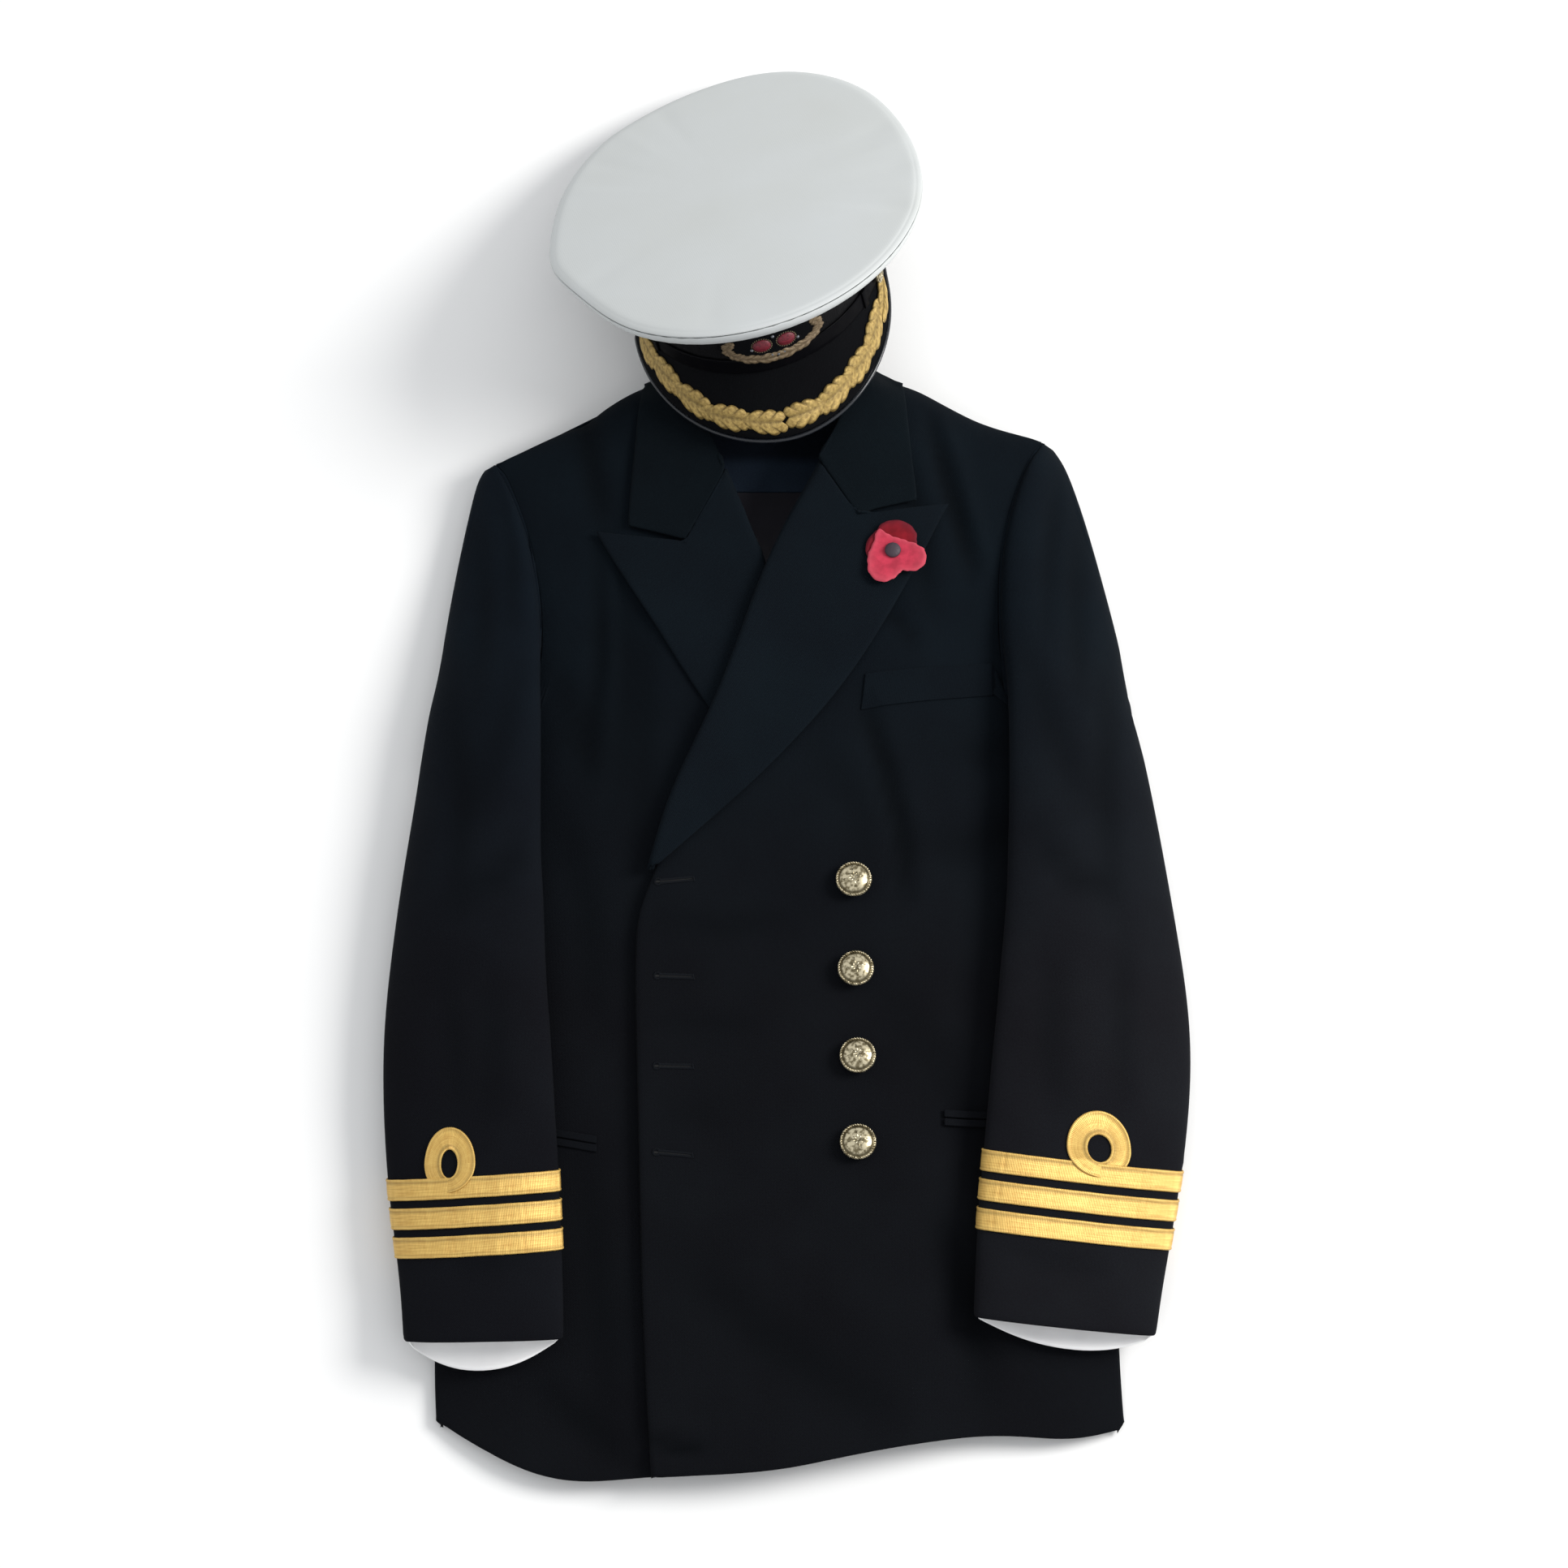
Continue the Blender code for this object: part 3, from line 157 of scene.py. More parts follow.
def effect(name, takes, gives):
    """An empty node group with the sockets that it takes and gives."""
    group = bpy.data.node_groups.new(name, "ShaderNodeTree")
    for label, kind in takes.items():
        group.interface.new_socket(label, in_out="INPUT", socket_type="NodeSocket" + kind)
    for label, kind in gives.items():
        group.interface.new_socket(label, in_out="OUTPUT", socket_type="NodeSocket" + kind)
    return group, group.nodes.new("NodeGroupInput"), group.nodes.new("NodeGroupOutput")


def speckle(tree, scale, detail=2.0, flat=False):
    """A noise over a piece, in its own space or in its flat cut."""
    place = add(tree, "UVMap").outputs["UV"] if flat else add(tree, "TexCoord").outputs["Object"]
    return add(tree, "TexNoise", {"Vector": place, "Scale": scale, "Detail": detail}).outputs["Fac"]


def two_tone(tree, pattern, dark, light, first=0.35, last=0.65):
    """The colour of a pattern, between a dark and a light tone."""
    tone = add(tree, "ValToRGB", {"Fac": pattern})
    for end, place, colour in zip(tone.color_ramp.elements, (first, last), (dark, light)):
        end.position, end.color = place, (*colour, 1)
    return tone.outputs["Color"]


def blend(tree, share, under, over, **settings):
    """One colour over another one."""
    mix = add(tree, "Mix", {0: share, 6: under, 7: over}, data_type="RGBA", **settings)
    return mix.outputs[2]


def emboss(tree, shader, height, strength, distance):
    """Gives a shader the relief of a pattern."""
    feeds = {"Strength": strength, "Distance": distance, "Height": height}
    bump = add(tree, "Bump", feeds)
    tree.links.new(bump.outputs["Normal"], shader.inputs["Normal"])


def toned(colour, *parts):
    """A colour made lighter or darker, by one part or by one for each of its channels."""
    parts = parts if len(parts) == 3 else parts * 3
    return tuple(min(channel * part, 1) for channel, part in zip(colour, parts))


# Barathea: ribs crossed by a fine twill, with a fibrous nap and a tone that drifts a little.
barathea, takes, gives = effect(
    "barathea_weave",
    {"Vector": "Vector", "Rib": "Float", "Twill": "Float"},
    {"Height": "Float", "Tone": "Float"},
)
at, rib_scale = takes.outputs["Vector"], takes.outputs["Rib"]
twilled = {"Vector": at, "Scale": takes.outputs["Twill"], "Distortion": 0.6}
rib = add(barathea, "TexWave", {"Vector": at, "Scale": rib_scale})
weft = add(barathea, "TexWave", {"Vector": at, "Scale": rib_scale}, bands_direction="Y")
twill = add(barathea, "TexWave", twilled, bands_direction="DIAGONAL")
nap = add(barathea, "TexNoise", {"Vector": at, "Scale": 900.0, "Detail": 3.0})
drift = add(barathea, "TexNoise", {"Vector": at, "Scale": 14.0, "Detail": 4.0})
crossed = {0: rib.outputs["Fac"], 1: weft.outputs["Fac"]}
pebble = add(barathea, "Math", crossed, operation="MULTIPLY")
raised = add(barathea, "Math", {0: pebble.outputs[0], 1: twill.outputs["Fac"]}, operation="ADD")
fibrous = add(barathea, "Math", {0: nap.outputs["Fac"], 1: 0.8}, operation="MULTIPLY")
surface = add(barathea, "Math", {0: raised.outputs[0], 1: fibrous.outputs[0]}, operation="ADD")
barathea.links.new(surface.outputs[0], gives.inputs["Height"])
mixed = add(barathea, "Mix", {0: 0.5, 2: drift.outputs["Fac"], 3: nap.outputs["Fac"]})
barathea.links.new(mixed.outputs[0], gives.inputs["Tone"])

# Lint: short pale fibres that catch on a dark wool, far apart.
lint, takes, gives = effect("lint", {"Vector": "Vector"}, {"Mask": "Float"})
stretched = add(lint, "Mapping", {"Vector": takes.outputs["Vector"], "Scale": (19.0, 27.0, 23.0)})
bent = add(lint, "TexNoise", {"Vector": stretched.outputs[0], "Scale": 6.0})
wandering = add(
    lint, "Mix", {0: 0.12, 4: stretched.outputs[0], 5: bent.outputs["Color"]}, data_type="VECTOR"
)
speck = add(lint, "TexVoronoi", {"Vector": wandering.outputs[1], "Scale": 1.0})
near = add(lint, "Math", {0: speck.outputs["Distance"], 1: 0.017}, operation="LESS_THAN")
lot = add(lint, "SeparateColor", {"Color": speck.outputs["Color"]})
few = add(lint, "Math", {0: lot.outputs[0], 1: 0.16}, operation="LESS_THAN")
shown = add(lint, "Math", {0: near.outputs[0], 1: few.outputs[0]}, operation="MULTIPLY")
lint.links.new(shown.outputs[0], gives.inputs["Mask"])


def barathea_finish(name, colour, below=None):
    """Navy barathea: nearly black and matt, greyer towards the hem as painted light, with painted
    shade in its folds and a few specks of lint.
    """
    material, tree, shader = finish_material(
        name, colour, 0.85, Specular_IOR_Level=0.05, Sheen_Weight=0.008, Sheen_Roughness=0.45
    )
    threads = {
        "Vector": add(tree, "UVMap").outputs["UV"],
        "Rib": math.tau / (20 * RIB),
        "Twill": math.tau / (10 * TWILL),
    }
    weave = add(tree, "Group", threads, node_tree=barathea)
    tone = two_tone(tree, weave.outputs["Tone"], (0.76, 0.68, 0.72), (1.24, 1.34, 1.28), 0.32, 0.68)
    # Painted light: the colour drifts to the greyer below colour towards the hem.
    place = add(tree, "TexCoord").outputs["Object"]
    apart = add(tree, "SeparateXYZ", {"Vector": place})
    high = add(tree, "MapRange", {0: apart.outputs["Y"], 1: -0.16, 2: 0.10})
    painted_hem_light = blend(tree, high.outputs[0], (*(below or colour), 1), (*colour, 1))
    mottled = blend(tree, 1.0, painted_hem_light, tone, blend_type="MULTIPLY")
    # Painted shade: where the vertex attribute marks fold troughs or the peak's shadow on the
    # facing, the cloth darkens towards a quarter of its colour.
    painted_shade = add(tree, "Attribute", attribute_name="painted_shade").outputs["Fac"]
    press_and_shade = blend(tree, painted_shade, mottled, (*toned(colour, 0.25), 1))
    specks = add(tree, "Group", {"Vector": place}, node_tree=lint).outputs["Mask"]
    dusted = blend(tree, specks, press_and_shade, (0.10, 0.11, 0.12, 1))
    tree.links.new(dusted, shader.inputs["Base Color"])
    emboss(tree, shader, weave.outputs["Height"], 0.55, 0.00018)
    return material


navy_barathea = barathea_finish("navy_barathea", NAVY, NAVY_BELOW)


def packed(node):
    """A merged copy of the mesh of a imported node."""
    bm = bmesh.new()
    bm.from_mesh(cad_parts[node].data)
    bmesh.ops.remove_doubles(bm, verts=bm.verts, dist=1e-6)
    return bm


def in_quads(bm):
    """The same surface with its pairs of triangles joined."""
    bends = {"angle_face_threshold": math.radians(40), "angle_shape_threshold": math.radians(70)}
    bmesh.ops.join_triangles(bm, faces=bm.faces[:], **bends)
    return bm


def right_side(node):
    """The right side of a packed wall as one surface of quads: its widest smooth side."""
    bm = packed(node)
    edges = [e for e in bm.edges if e.is_manifold and e.calc_face_angle(0) > PANEL_BEND]
    bmesh.ops.split_edges(bm, edges=edges)
    left, widest, most = dict.fromkeys(bm.faces), [], 0.0
    while left:
        reached = [left.popitem()[0]]
        for face in reached:
            for edge in face.edges:
                for beside in edge.link_faces:
                    if beside in left:
                        left.pop(beside)
                        reached.append(beside)
        area = sum(face.calc_area() for face in reached)
        if area > most:
            widest, most = reached, area
    widest = set(widest)
    bmesh.ops.delete(bm, geom=[f for f in bm.faces if f not in widest], context="FACES")
    return in_quads(bm)


def as_object(bm, name):
    """A passing object made of a bmesh, and its mesh."""
    mesh = bpy.data.meshes.new(name)
    bm.to_mesh(mesh)
    bm.free()
    made = bpy.data.objects.new(name, mesh)
    bpy.context.scene.collection.objects.link(made)
    return made, mesh


def laid_flat(bm):
    """Unrolls a surface into its own UV map, in metres, with the grain of the cloth along V."""
    cut, mesh = as_object(bm, "cut")
    bpy.context.view_layer.objects.active = cut
    bpy.ops.object.select_all(action="DESELECT")
    cut.select_set(True)
    bpy.ops.object.mode_set(mode="EDIT")
    bpy.ops.mesh.select_all(action="SELECT")
    bpy.ops.uv.unwrap(method="ANGLE_BASED", margin=0)
    bpy.ops.object.mode_set(mode="OBJECT")
    bm = bmesh.new()
    bm.from_mesh(mesh)
    bpy.data.objects.remove(cut)
    bpy.data.meshes.remove(mesh)
    layer = bm.loops.layers.uv.active
    corners = [(loop[layer].uv.copy(), loop.vert.co) for face in bm.faces for loop in face.loops]
    middle = sum((uv for uv, _ in corners), Vector((0, 0))) / len(corners)
    mean = sum((co for _, co in corners), Vector()) / len(corners)
    grain = sum(((uv - middle) * (co.y - mean.y) for uv, co in corners), Vector((0, 0)))
    width = sum(((uv - middle) * (co.x - mean.x) for uv, co in corners), Vector((0, 0)))
    grain.normalize()
    across = Vector((grain.y, -grain.x))
    if across.dot(width) < 0:
        across = -across
    real, drawn = sum(face.calc_area() for face in bm.faces), 0.0
    for face in bm.faces:
        ends = [loop[layer].uv for loop in face.loops]
        drawn += abs(sum(a.cross(b) for a, b in zip(ends, ends[1:] + ends[:1]))) / 2
    scale = math.sqrt(real / drawn)
    for face in bm.faces:
        for loop in face.loops:
            at = (loop[layer].uv - middle) * scale
            loop[layer].uv = (at.dot(across), at.dot(grain))
    return bm


def clamp(value, least=0, most=1):
    """A number kept between two limits."""
    return min(max(value, least), most)


def softened(bm, levels, corner=CORNER):
    """The same surface with its facets rounded away, as cloth lies, and its sewn corners kept."""
    sharp = bm.verts.layers.float.get("crease_vert") or bm.verts.layers.float.new("crease_vert")
    for vert in bm.verts:
        ends = [edge.other_vert(vert).co - vert.co for edge in vert.link_edges if edge.is_boundary]
        if len(ends) == 2 and ends[0].angle(-ends[1], 0) > corner:
            vert[sharp] = 1.0
    form, mesh = as_object(bm, "form")
    rounding = form.modifiers.new("rounding", "SUBSURF")
    rounding.levels = rounding.render_levels = levels
    rounding.boundary_smooth = "PRESERVE_CORNERS"
    done = form.evaluated_get(bpy.context.evaluated_depsgraph_get())
    bm = bmesh.new()
    bm.from_mesh(done.to_mesh())
    done.to_mesh_clear()
    bpy.data.objects.remove(form)
    bpy.data.meshes.remove(mesh)
    return bm


def wear(name, node, bm, material, wall, rounding=1):
    """A piece made of its right side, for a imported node. Its wall goes inwards from there."""
    piece = new_piece(name, bm, material)
    thick = piece.modifiers.new("wall", "SOLIDIFY")
    thick.thickness = wall
    thick.offset = -1
    thick.use_even_offset = False
    if rounding:
        edge = piece.modifiers.new("rounded_edge", "SUBSURF")
        edge.levels = edge.render_levels = rounding
    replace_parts(piece, node)
    return piece


bm = softened(laid_flat(right_side("back")), 2)
for side in (-SEAM_BEND, 0.0, SEAM_BEND):
    bmesh.ops.bisect_plane(
        bm,
        geom=bm.verts[:] + bm.edges[:] + bm.faces[:],
        plane_co=(BACK_SEAM_X + side, 0, 0),
        plane_no=(1, 0, 0),
    )
for vert in bm.verts:
    if abs(vert.co.x - BACK_SEAM_X) < 0.0005 and vert.co.y < SEAM_TOP:
        vert.co.z += SEAM_RISE
    if vert.co.y > 0.19:
        vert.co.z += SHOULDER_LIFT * clamp((vert.co.z - 0.008) / 0.011)
back = wear("jacket_back", "back", bm, navy_barathea, CLOTH_WALL)


# ---- Back lining and neck facing ----------------------------------------------------------------
# Inside the open neck: a band of navy cloth faces the back neck, and a nearly black satin lining
# hangs below it with a loose pleat down the middle.
SATIN_WALL = 0.0007
FACING_WALL = 0.0012
FACING_PROUD = 0.0006
NECK_TURN = (0.2560, 0.2598)
NECK_RISE = Vector((0, 0.0115, 0.0035))
PEAK_SHADOW_RAMP = (0.222, 0.007)
SHADE_PER_MM = 0.20
Fold = namedtuple("Fold", "line wide deep")


def satin_finish(name, colour, roughness, sheen):
    """A smooth woven lining: fine lengthwise floats that give a soft directional gloss."""
    material, tree, shader = finish_material(
        name, colour, roughness, Specular_IOR_Level=0.35, Sheen_Weight=sheen
    )
    flat = add(tree, "UVMap").outputs["UV"]
    floats = add(tree, "Mapping", {"Vector": flat, "Scale": (2600.0, 240.0, 1.0)}).outputs[0]
    thread = add(tree, "TexNoise", {"Vector": floats, "Scale": 1.0, "Detail": 2.0})
    drift = speckle(tree, 22.0, 3.0, flat=True)
    tone = two_tone(tree, drift, toned(colour, 0.86), toned(colour, 1.08), 0.3, 0.7)
    tree.links.new(tone, shader.inputs["Base Color"])
    emboss(tree, shader, thread.outputs["Fac"], 0.35, 0.00006)
    return material


def faced(bm, way=Vector((0, 0, 1))):
    """The same surface, turned over if most of it faces away from a direction."""
    if sum(face.normal.dot(way) for face in bm.faces) < 0:
        bmesh.ops.reverse_faces(bm, faces=bm.faces[:])
    return bm


def bell(away):
    """A smooth hump: 1 in its middle and nearly nothing two widths away."""
    return math.exp(-(away**2))


def flat_distance(at, line):
    """How far a place is from a line of points, and how far along the line, from 0 to 1."""
    lengths = [(b - a).length for a, b in zip(line, line[1:])]
    total, before, nearest, along = sum(lengths), 0.0, 1e9, 0.0
    for a, b, length in zip(line, line[1:], lengths):
        share = clamp((at - a).dot(b - a) / (length * length), -0.2, 1.2)
        share = share if a is line[0] else max(share, 0.0)
        share = share if b is line[-1] else min(share, 1.0)
        away = (at - a.lerp(b, share)).length
        if away < nearest:
            nearest, along = away, (before + share * length) / total
        before += length
    return nearest, along


def press_folds(bm, folds, limit=None):
    """Presses soft troughs into a surface, or ridges where deep is under 0, in millimetres, and
    marks painted shade along the troughs in a vertex attribute.
    """
    bm.normal_update()
    painted_shade = bm.verts.layers.float.get("painted_shade") or bm.verts.layers.float.new("painted_shade")
    for fold in folds:
        line = [Vector(point) / 1000 for point in fold.line]
        wide, deep = fold.wide / 1000, fold.deep / 1000
        for vert in bm.verts:
            if limit and not limit(vert.co):
                continue
            away, along = flat_distance(vert.co.xy, line)
            if away > 3 * wide:
                continue
            fade = math.sin(math.pi * clamp((along + 0.12) / 1.24)) ** 0.6
            press_and_shade = fade * bell(away / wide)
            vert.co -= vert.normal * deep * press_and_shade
            if deep > 0:
                vert[painted_shade] = min(vert[painted_shade] + SHADE_PER_MM * deep * 1000 * press_and_shade, 0.6)


def let_wander(bm, size, deep, seed=0.0, still=None):
    """Lets a surface rise and sink a little, as pressed cloth never lies quite true."""
    bm.normal_update()
    moves = []
    for vert in bm.verts:
        lift = noise.noise(vert.co / size + Vector((seed, seed * 2.0, 0)))
        lift += 0.4 * noise.noise(vert.co / (size * 0.37) + Vector((0, seed, seed)))
        moves.append(vert.normal * (lift * deep * (still(vert.co) if still else 1.0)))
    for vert, move in zip(bm.verts, moves):
        vert.co += move


# Painted light: the black satin is given a lighter colour, to stand in for light in the shaded
# neck.
black_satin = satin_finish("black_satin", (0.030, 0.029, 0.038), 0.5, 0.012)
bm = faced(softened(laid_flat(right_side("back_lining")), 3))
press_folds(bm, [Fold([(4, 205), (2, 90)], 5, -2.2), Fold([(13, 200), (9, 100)], 5, 0.6)])
let_wander(bm, 0.06, 0.0004, 3.0)
back_lining = wear("back_lining_satin", "back_lining", bm, black_satin, SATIN_WALL, 0)

# Painted light: the facing is a much lighter copy of the navy barathea, to stand in for light in
# the shaded neck.
facing_barathea_lit = barathea_finish("facing_barathea_lit", (0.0165, 0.0250, 0.0415))
bm = faced(softened(laid_flat(right_side("neck_facing")), 3))
# Painted shadow: the top of the facing is marked to darken where the cap's peak shades it.
shaded = bm.verts.layers.float.new("painted_shade")
for vert in bm.verts:
    vert[shaded] = 0.85 * clamp((vert.co.y - PEAK_SHADOW_RAMP[0]) / PEAK_SHADOW_RAMP[1])
    rise = max(vert.co.y - NECK_TURN[0], 0) / (NECK_TURN[1] - NECK_TURN[0])
    vert.co += NECK_RISE * rise**3 + Vector((0, 0, FACING_PROUD))
neck_facing = wear(
    "neck_facing_cloth", "neck_facing", bm, facing_barathea_lit, FACING_WALL
)


# ---- Jacket fronts ------------------------------------------------------------------------------
# Two fronts of navy barathea over canvas. The wearer's left front laps over the right one, and
# its edge lies down the right side of the chest. Each has a dart from the breast to the pocket,
# and the cloth lies in soft folds that run down from the shoulder and in from the side.
SHOULDER_RISES = (((-0.1000, 0.2620), 0.002), ((0.0850, 0.2640), 0.005))
SHOULDER_REACH = 0.026
LEFT_FRONT_FOLDS = [
    Fold([(97, 232), (106, 196), (121, 136)], 6, 3.65),
    Fold([(105, 232), (116, 196), (131, 140)], 6, -2.19),
    Fold([(80, 206), (94, 106)], 8, 2.19),
    Fold([(52, 34), (63, 0), (74, -44), (77, -84)], 6.5, 3.92),
    Fold([(58, 36), (70, 2), (83, -44), (86, -82)], 7, -1.46),
    Fold([(66, 102), (84, 80)], 6, 2.19),
    Fold([(20, 10), (46, -30), (52, -66)], 12, 1.46),
    Fold([(-84, -436), (-66, -440), (-50, -441)], 4.5, 3.65),
    Fold([(-84, -426), (-56, -431)], 5, -1.94),
    Fold([(-76, -106), (-40, -112), (-4, -106)], 9, 1.7),
    Fold([(-80, -172), (-46, -176), (-18, -170)], 9, 1.46),
    Fold([(-80, -228), (-38, -232)], 9, 1.34),
    Fold([(-60, -330), (-10, -372), (62, -420)], 16, 2.19),
    Fold([(-30, -306), (40, -352), (110, -392)], 18, -1.94),
    Fold([(96, -300), (118, -352), (122, -404)], 12, 2.67),
    Fold([(150, -40), (110, -58), (84, -52)], 14, 1.7),
    Fold([(158, 22), (128, 6), (104, 10)], 12, 1.7),
    Fold([(60, -150), (96, -196), (120, -262)], 16, 1.7),
]
RIGHT_FRONT_FOLDS = [
    Fold([(-132, 252), (-126, 208), (-118, 170)], 9, 2.92),
    Fold([(-121, 138), (-119, 70), (-124, 10)], 7, 1.94),
    Fold([(-106, 128), (-103, 60), (-107, -20)], 8, 1.7),
    Fold([(-113, 134), (-111, 64), (-115, -6)], 5, -1.46),
    Fold([(-92, 96), (-90, 30), (-94, -60)], 9, 1.7),
    Fold([(-146, 60), (-132, 30), (-124, -10)], 10, 2.19),
    Fold([(-142, -40), (-126, -90), (-120, -160)], 12, 1.94),
    Fold([(-128, -258), (-116, -330), (-110, -420)], 14, 2.19),
    Fold([(-150, -400), (-120, -428), (-96, -446)], 10, 2.19),
]


def rim_of(bm, within):
    """The open edges of a surface, as pairs of points, where both ends are within a region."""
    rim = [e for e in bm.edges if e.is_boundary and all(within(v.co) for v in e.verts)]
    return [(e.verts[0].co.copy(), e.verts[1].co.copy()) for e in rim]


def sew_to(bm, rim, reach, within, lift=0.0):
    """Brings an open edge to the edge that it is sewn to, and eases the cloth beside it."""
    moves = {}
    for vert in bm.verts:
        if not (vert.is_boundary and within(vert.co)):
            continue
        best, shift = reach, None
        for a, b in rim:
            share = clamp((vert.co - a).dot(b - a) / (b - a).length_squared)
            away = a.lerp(b, share) - vert.co
            if away.length < best:
                best, shift = away.length, away
        if shift is not None:
            moves[vert] = shift + Vector((0, 0, lift))
    eased = {}
    for vert, move in moves.items():
        for edge in vert.link_edges:
            beside = edge.other_vert(vert)
            if beside not in moves:
                eased[beside] = move * 0.4
    for vert, move in [*moves.items(), *eased.items()]:
        vert.co += move


front_tops, armhole_rims = {}, {}
for name, node, folds, seed, cut, area in (
    ("jacket_front_right", "front_right", RIGHT_FRONT_FOLDS, 1.0, (0.32, 0.75), 0.172),
    ("jacket_front_left", "front_left", LEFT_FRONT_FOLDS, 7.0, (0.322, 0.742), 0.179),
):
    bm = softened(laid_flat(right_side(node)), 2)
    press_folds(bm, folds, limit=lambda at: at.z > 0.012)
    let_wander(bm, 0.085, 0.0015, seed, still=lambda at: clamp((at.z - 0.01) / 0.012))
    for vert in bm.verts:
        vert.co.z = max(vert.co.z, CLOTH_WALL)
        for place, lift in SHOULDER_RISES:
            away = math.hypot(vert.co.x - place[0], vert.co.y - place[1])
            vert.co.y += lift * bell(away / SHOULDER_REACH)
    front_tops[node] = BVHTree.FromBMesh(bm)
    armhole_rims[node[6:]] = rim_of(bm, lambda at: at.y > 0.012 and abs(at.x) > 0.13)
    front = wear(name, node, bm, navy_barathea, CLOTH_WALL)


# ---- Sleeves ------------------------------------------------------------------------------------
# Two-piece sleeves lying along the body: the top sleeve turns round both edges and meets the under
# sleeve beneath. The head is set into the armhole with a little fullness, and the arm is straight
# with long soft folds that bend at the elbow.
# Painted light: each sleeve uses its own copy of the navy barathea, lighter than the body's and
# different on each side, changing towards its below colour at the cuff.
LEFT_SLEEVE_NAVY = (0.0031, 0.0056, 0.0088)
LEFT_SLEEVE_BELOW = (0.0072, 0.0075, 0.0098)
RIGHT_SLEEVE_NAVY = (0.0036, 0.0064, 0.0104)
RIGHT_SLEEVE_BELOW = (0.0047, 0.0051, 0.0072)
RIGHT_SLEEVE_FOLDS = [
    Fold([(-186, 196), (-178, 150), (-176, 96)], 7, 1.7),
    Fold([(-199, 170), (-194, 110), (-196, 40)], 9, 1.94),
    Fold([(-214, 60), (-206, -20), (-208, -90)], 10, 2.19),
    Fold([(-170, 60), (-182, 10), (-196, -36)], 12, 1.94),
    Fold([(-164, -60), (-184, -84), (-206, -96)], 10, 2.19),
    Fold([(-160, -104), (-180, -124), (-206, -130)], 9, -1.46),
    Fold([(-186, -150), (-182, -200), (-184, -240)], 12, 1.7),
    Fold([(-214, -140), (-206, -190), (-204, -232)], 9, 1.46),
    Fold([(-160, -322), (-180, -330), (-204, -328)], 9, 1.22),
]
LEFT_SLEEVE_FOLDS = [
    Fold([(178, 196), (172, 150), (168, 90)], 7, 1.7),
    Fold([(192, 174), (188, 110), (190, 40)], 9, 1.94),
    Fold([(210, 70), (204, -10), (206, -84)], 10, 2.19),
    Fold([(156, 70), (170, 20), (190, -30)], 12, 1.94),
    Fold([(156, -50), (178, -78), (208, -92)], 10, 2.19),
    Fold([(152, -96), (176, -118), (206, -126)], 9, -1.46),
    Fold([(168, -140), (166, -196), (172, -232)], 12, 1.7),
    Fold([(214, -120), (210, -180), (212, -224)], 9, 1.46),
    Fold([(136, -316), (160, -326), (196, -332)], 9, 1.22),
]

sleeve_barathea_lit = {
    "right": barathea_finish("right_sleeve_barathea_lit", RIGHT_SLEEVE_NAVY, RIGHT_SLEEVE_BELOW),
    "left": barathea_finish("left_sleeve_barathea_lit", LEFT_SLEEVE_NAVY, LEFT_SLEEVE_BELOW),
}
UNDER_HEAD = 0.0016
Cut = namedtuple("Cut", "wide long area")


sleeve_pieces, hem_ends = {}, {}
for side, folds, seed in (("right", RIGHT_SLEEVE_FOLDS, 11.0), ("left", LEFT_SLEEVE_FOLDS, 17.0)):
    node = f"top_sleeve_{side}"
    bm = softened(laid_flat(right_side(node)), 2, math.pi)
    press_folds(bm, folds, limit=lambda at: at.z > 0.02)
    let_wander(bm, 0.07, 0.0009, seed, still=lambda at: clamp((at.z - 0.02) / 0.012))
    under_arm = [v for v in bm.verts if 0.01 < v.co.y < 0.085 and abs(v.co.x) > 0.195]
    every_way = {"use_axis_x": True, "use_axis_y": True, "use_axis_z": True}
    for _ in range(14):
        bmesh.ops.smooth_vert(bm, verts=under_arm, factor=0.5, **every_way)
    sew_to(bm, armhole_rims[side], 0.009, lambda at: at.y > 0.03 and abs(at.x) < 0.22, 0.0006)
    mouth = [v.co.copy() for v in bm.verts if v.is_boundary and v.co.y < -0.30 and v.co.z > 0.018]
    hem_ends[side] = min(mouth, key=lambda at: at.x), max(mouth, key=lambda at: at.x)
    navy = sleeve_barathea_lit[side]
    top_sleeve = wear(f"jacket_{node}", node, bm, navy, CLOTH_WALL)

    node = f"under_sleeve_{side}"
    bm = softened(laid_flat(right_side(node)), 2, math.pi)
    for vert in bm.verts:
        near_head = clamp(vert.co.y / 0.03)
        vert.co.x -= math.copysign(UNDER_HEAD, vert.co.x) * near_head
    under_sleeve = wear(f"jacket_{node}", node, bm, navy, CLOTH_WALL)
    sleeve_pieces[side] = (top_sleeve, under_sleeve)


white_satin = satin_finish("white_satin", (0.98, 0.97, 0.98), 0.42, 0.22)
for side in ("right", "left"):
    node = f"sleeve_lining_{side}"
    bm = softened(laid_flat(right_side(node)), 2)
    low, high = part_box(node)
    middle, half = (low.x + high.x) / 2, (high.x - low.x) / 2
    for vert in bm.verts:
        left_end, right_end = hem_ends[side]
        share = (vert.co.x - left_end.x) / (right_end.x - left_end.x)
        hem_y = left_end.y + (right_end.y - left_end.y) * share
        if vert.co.y < hem_y:
            across = (vert.co.x - middle) / half
            vert.co.y = hem_y + (vert.co.y - hem_y) * max(1 - across * across, 0.0) ** 0.8
    lining = wear(
        f"sleeve_lining_satin_{side}", node, bm, white_satin, SATIN_WALL, 0
    )


# ---- Lapels -------------------------------------------------------------------------------------
# Peaked lapels: the facing of each front rolled back on the chest. The roll is a soft bend, the
# outer edges are turned and pressed over canvas, and the peaks point up at the sleeve heads.
LAPEL_WALL = 0.0019
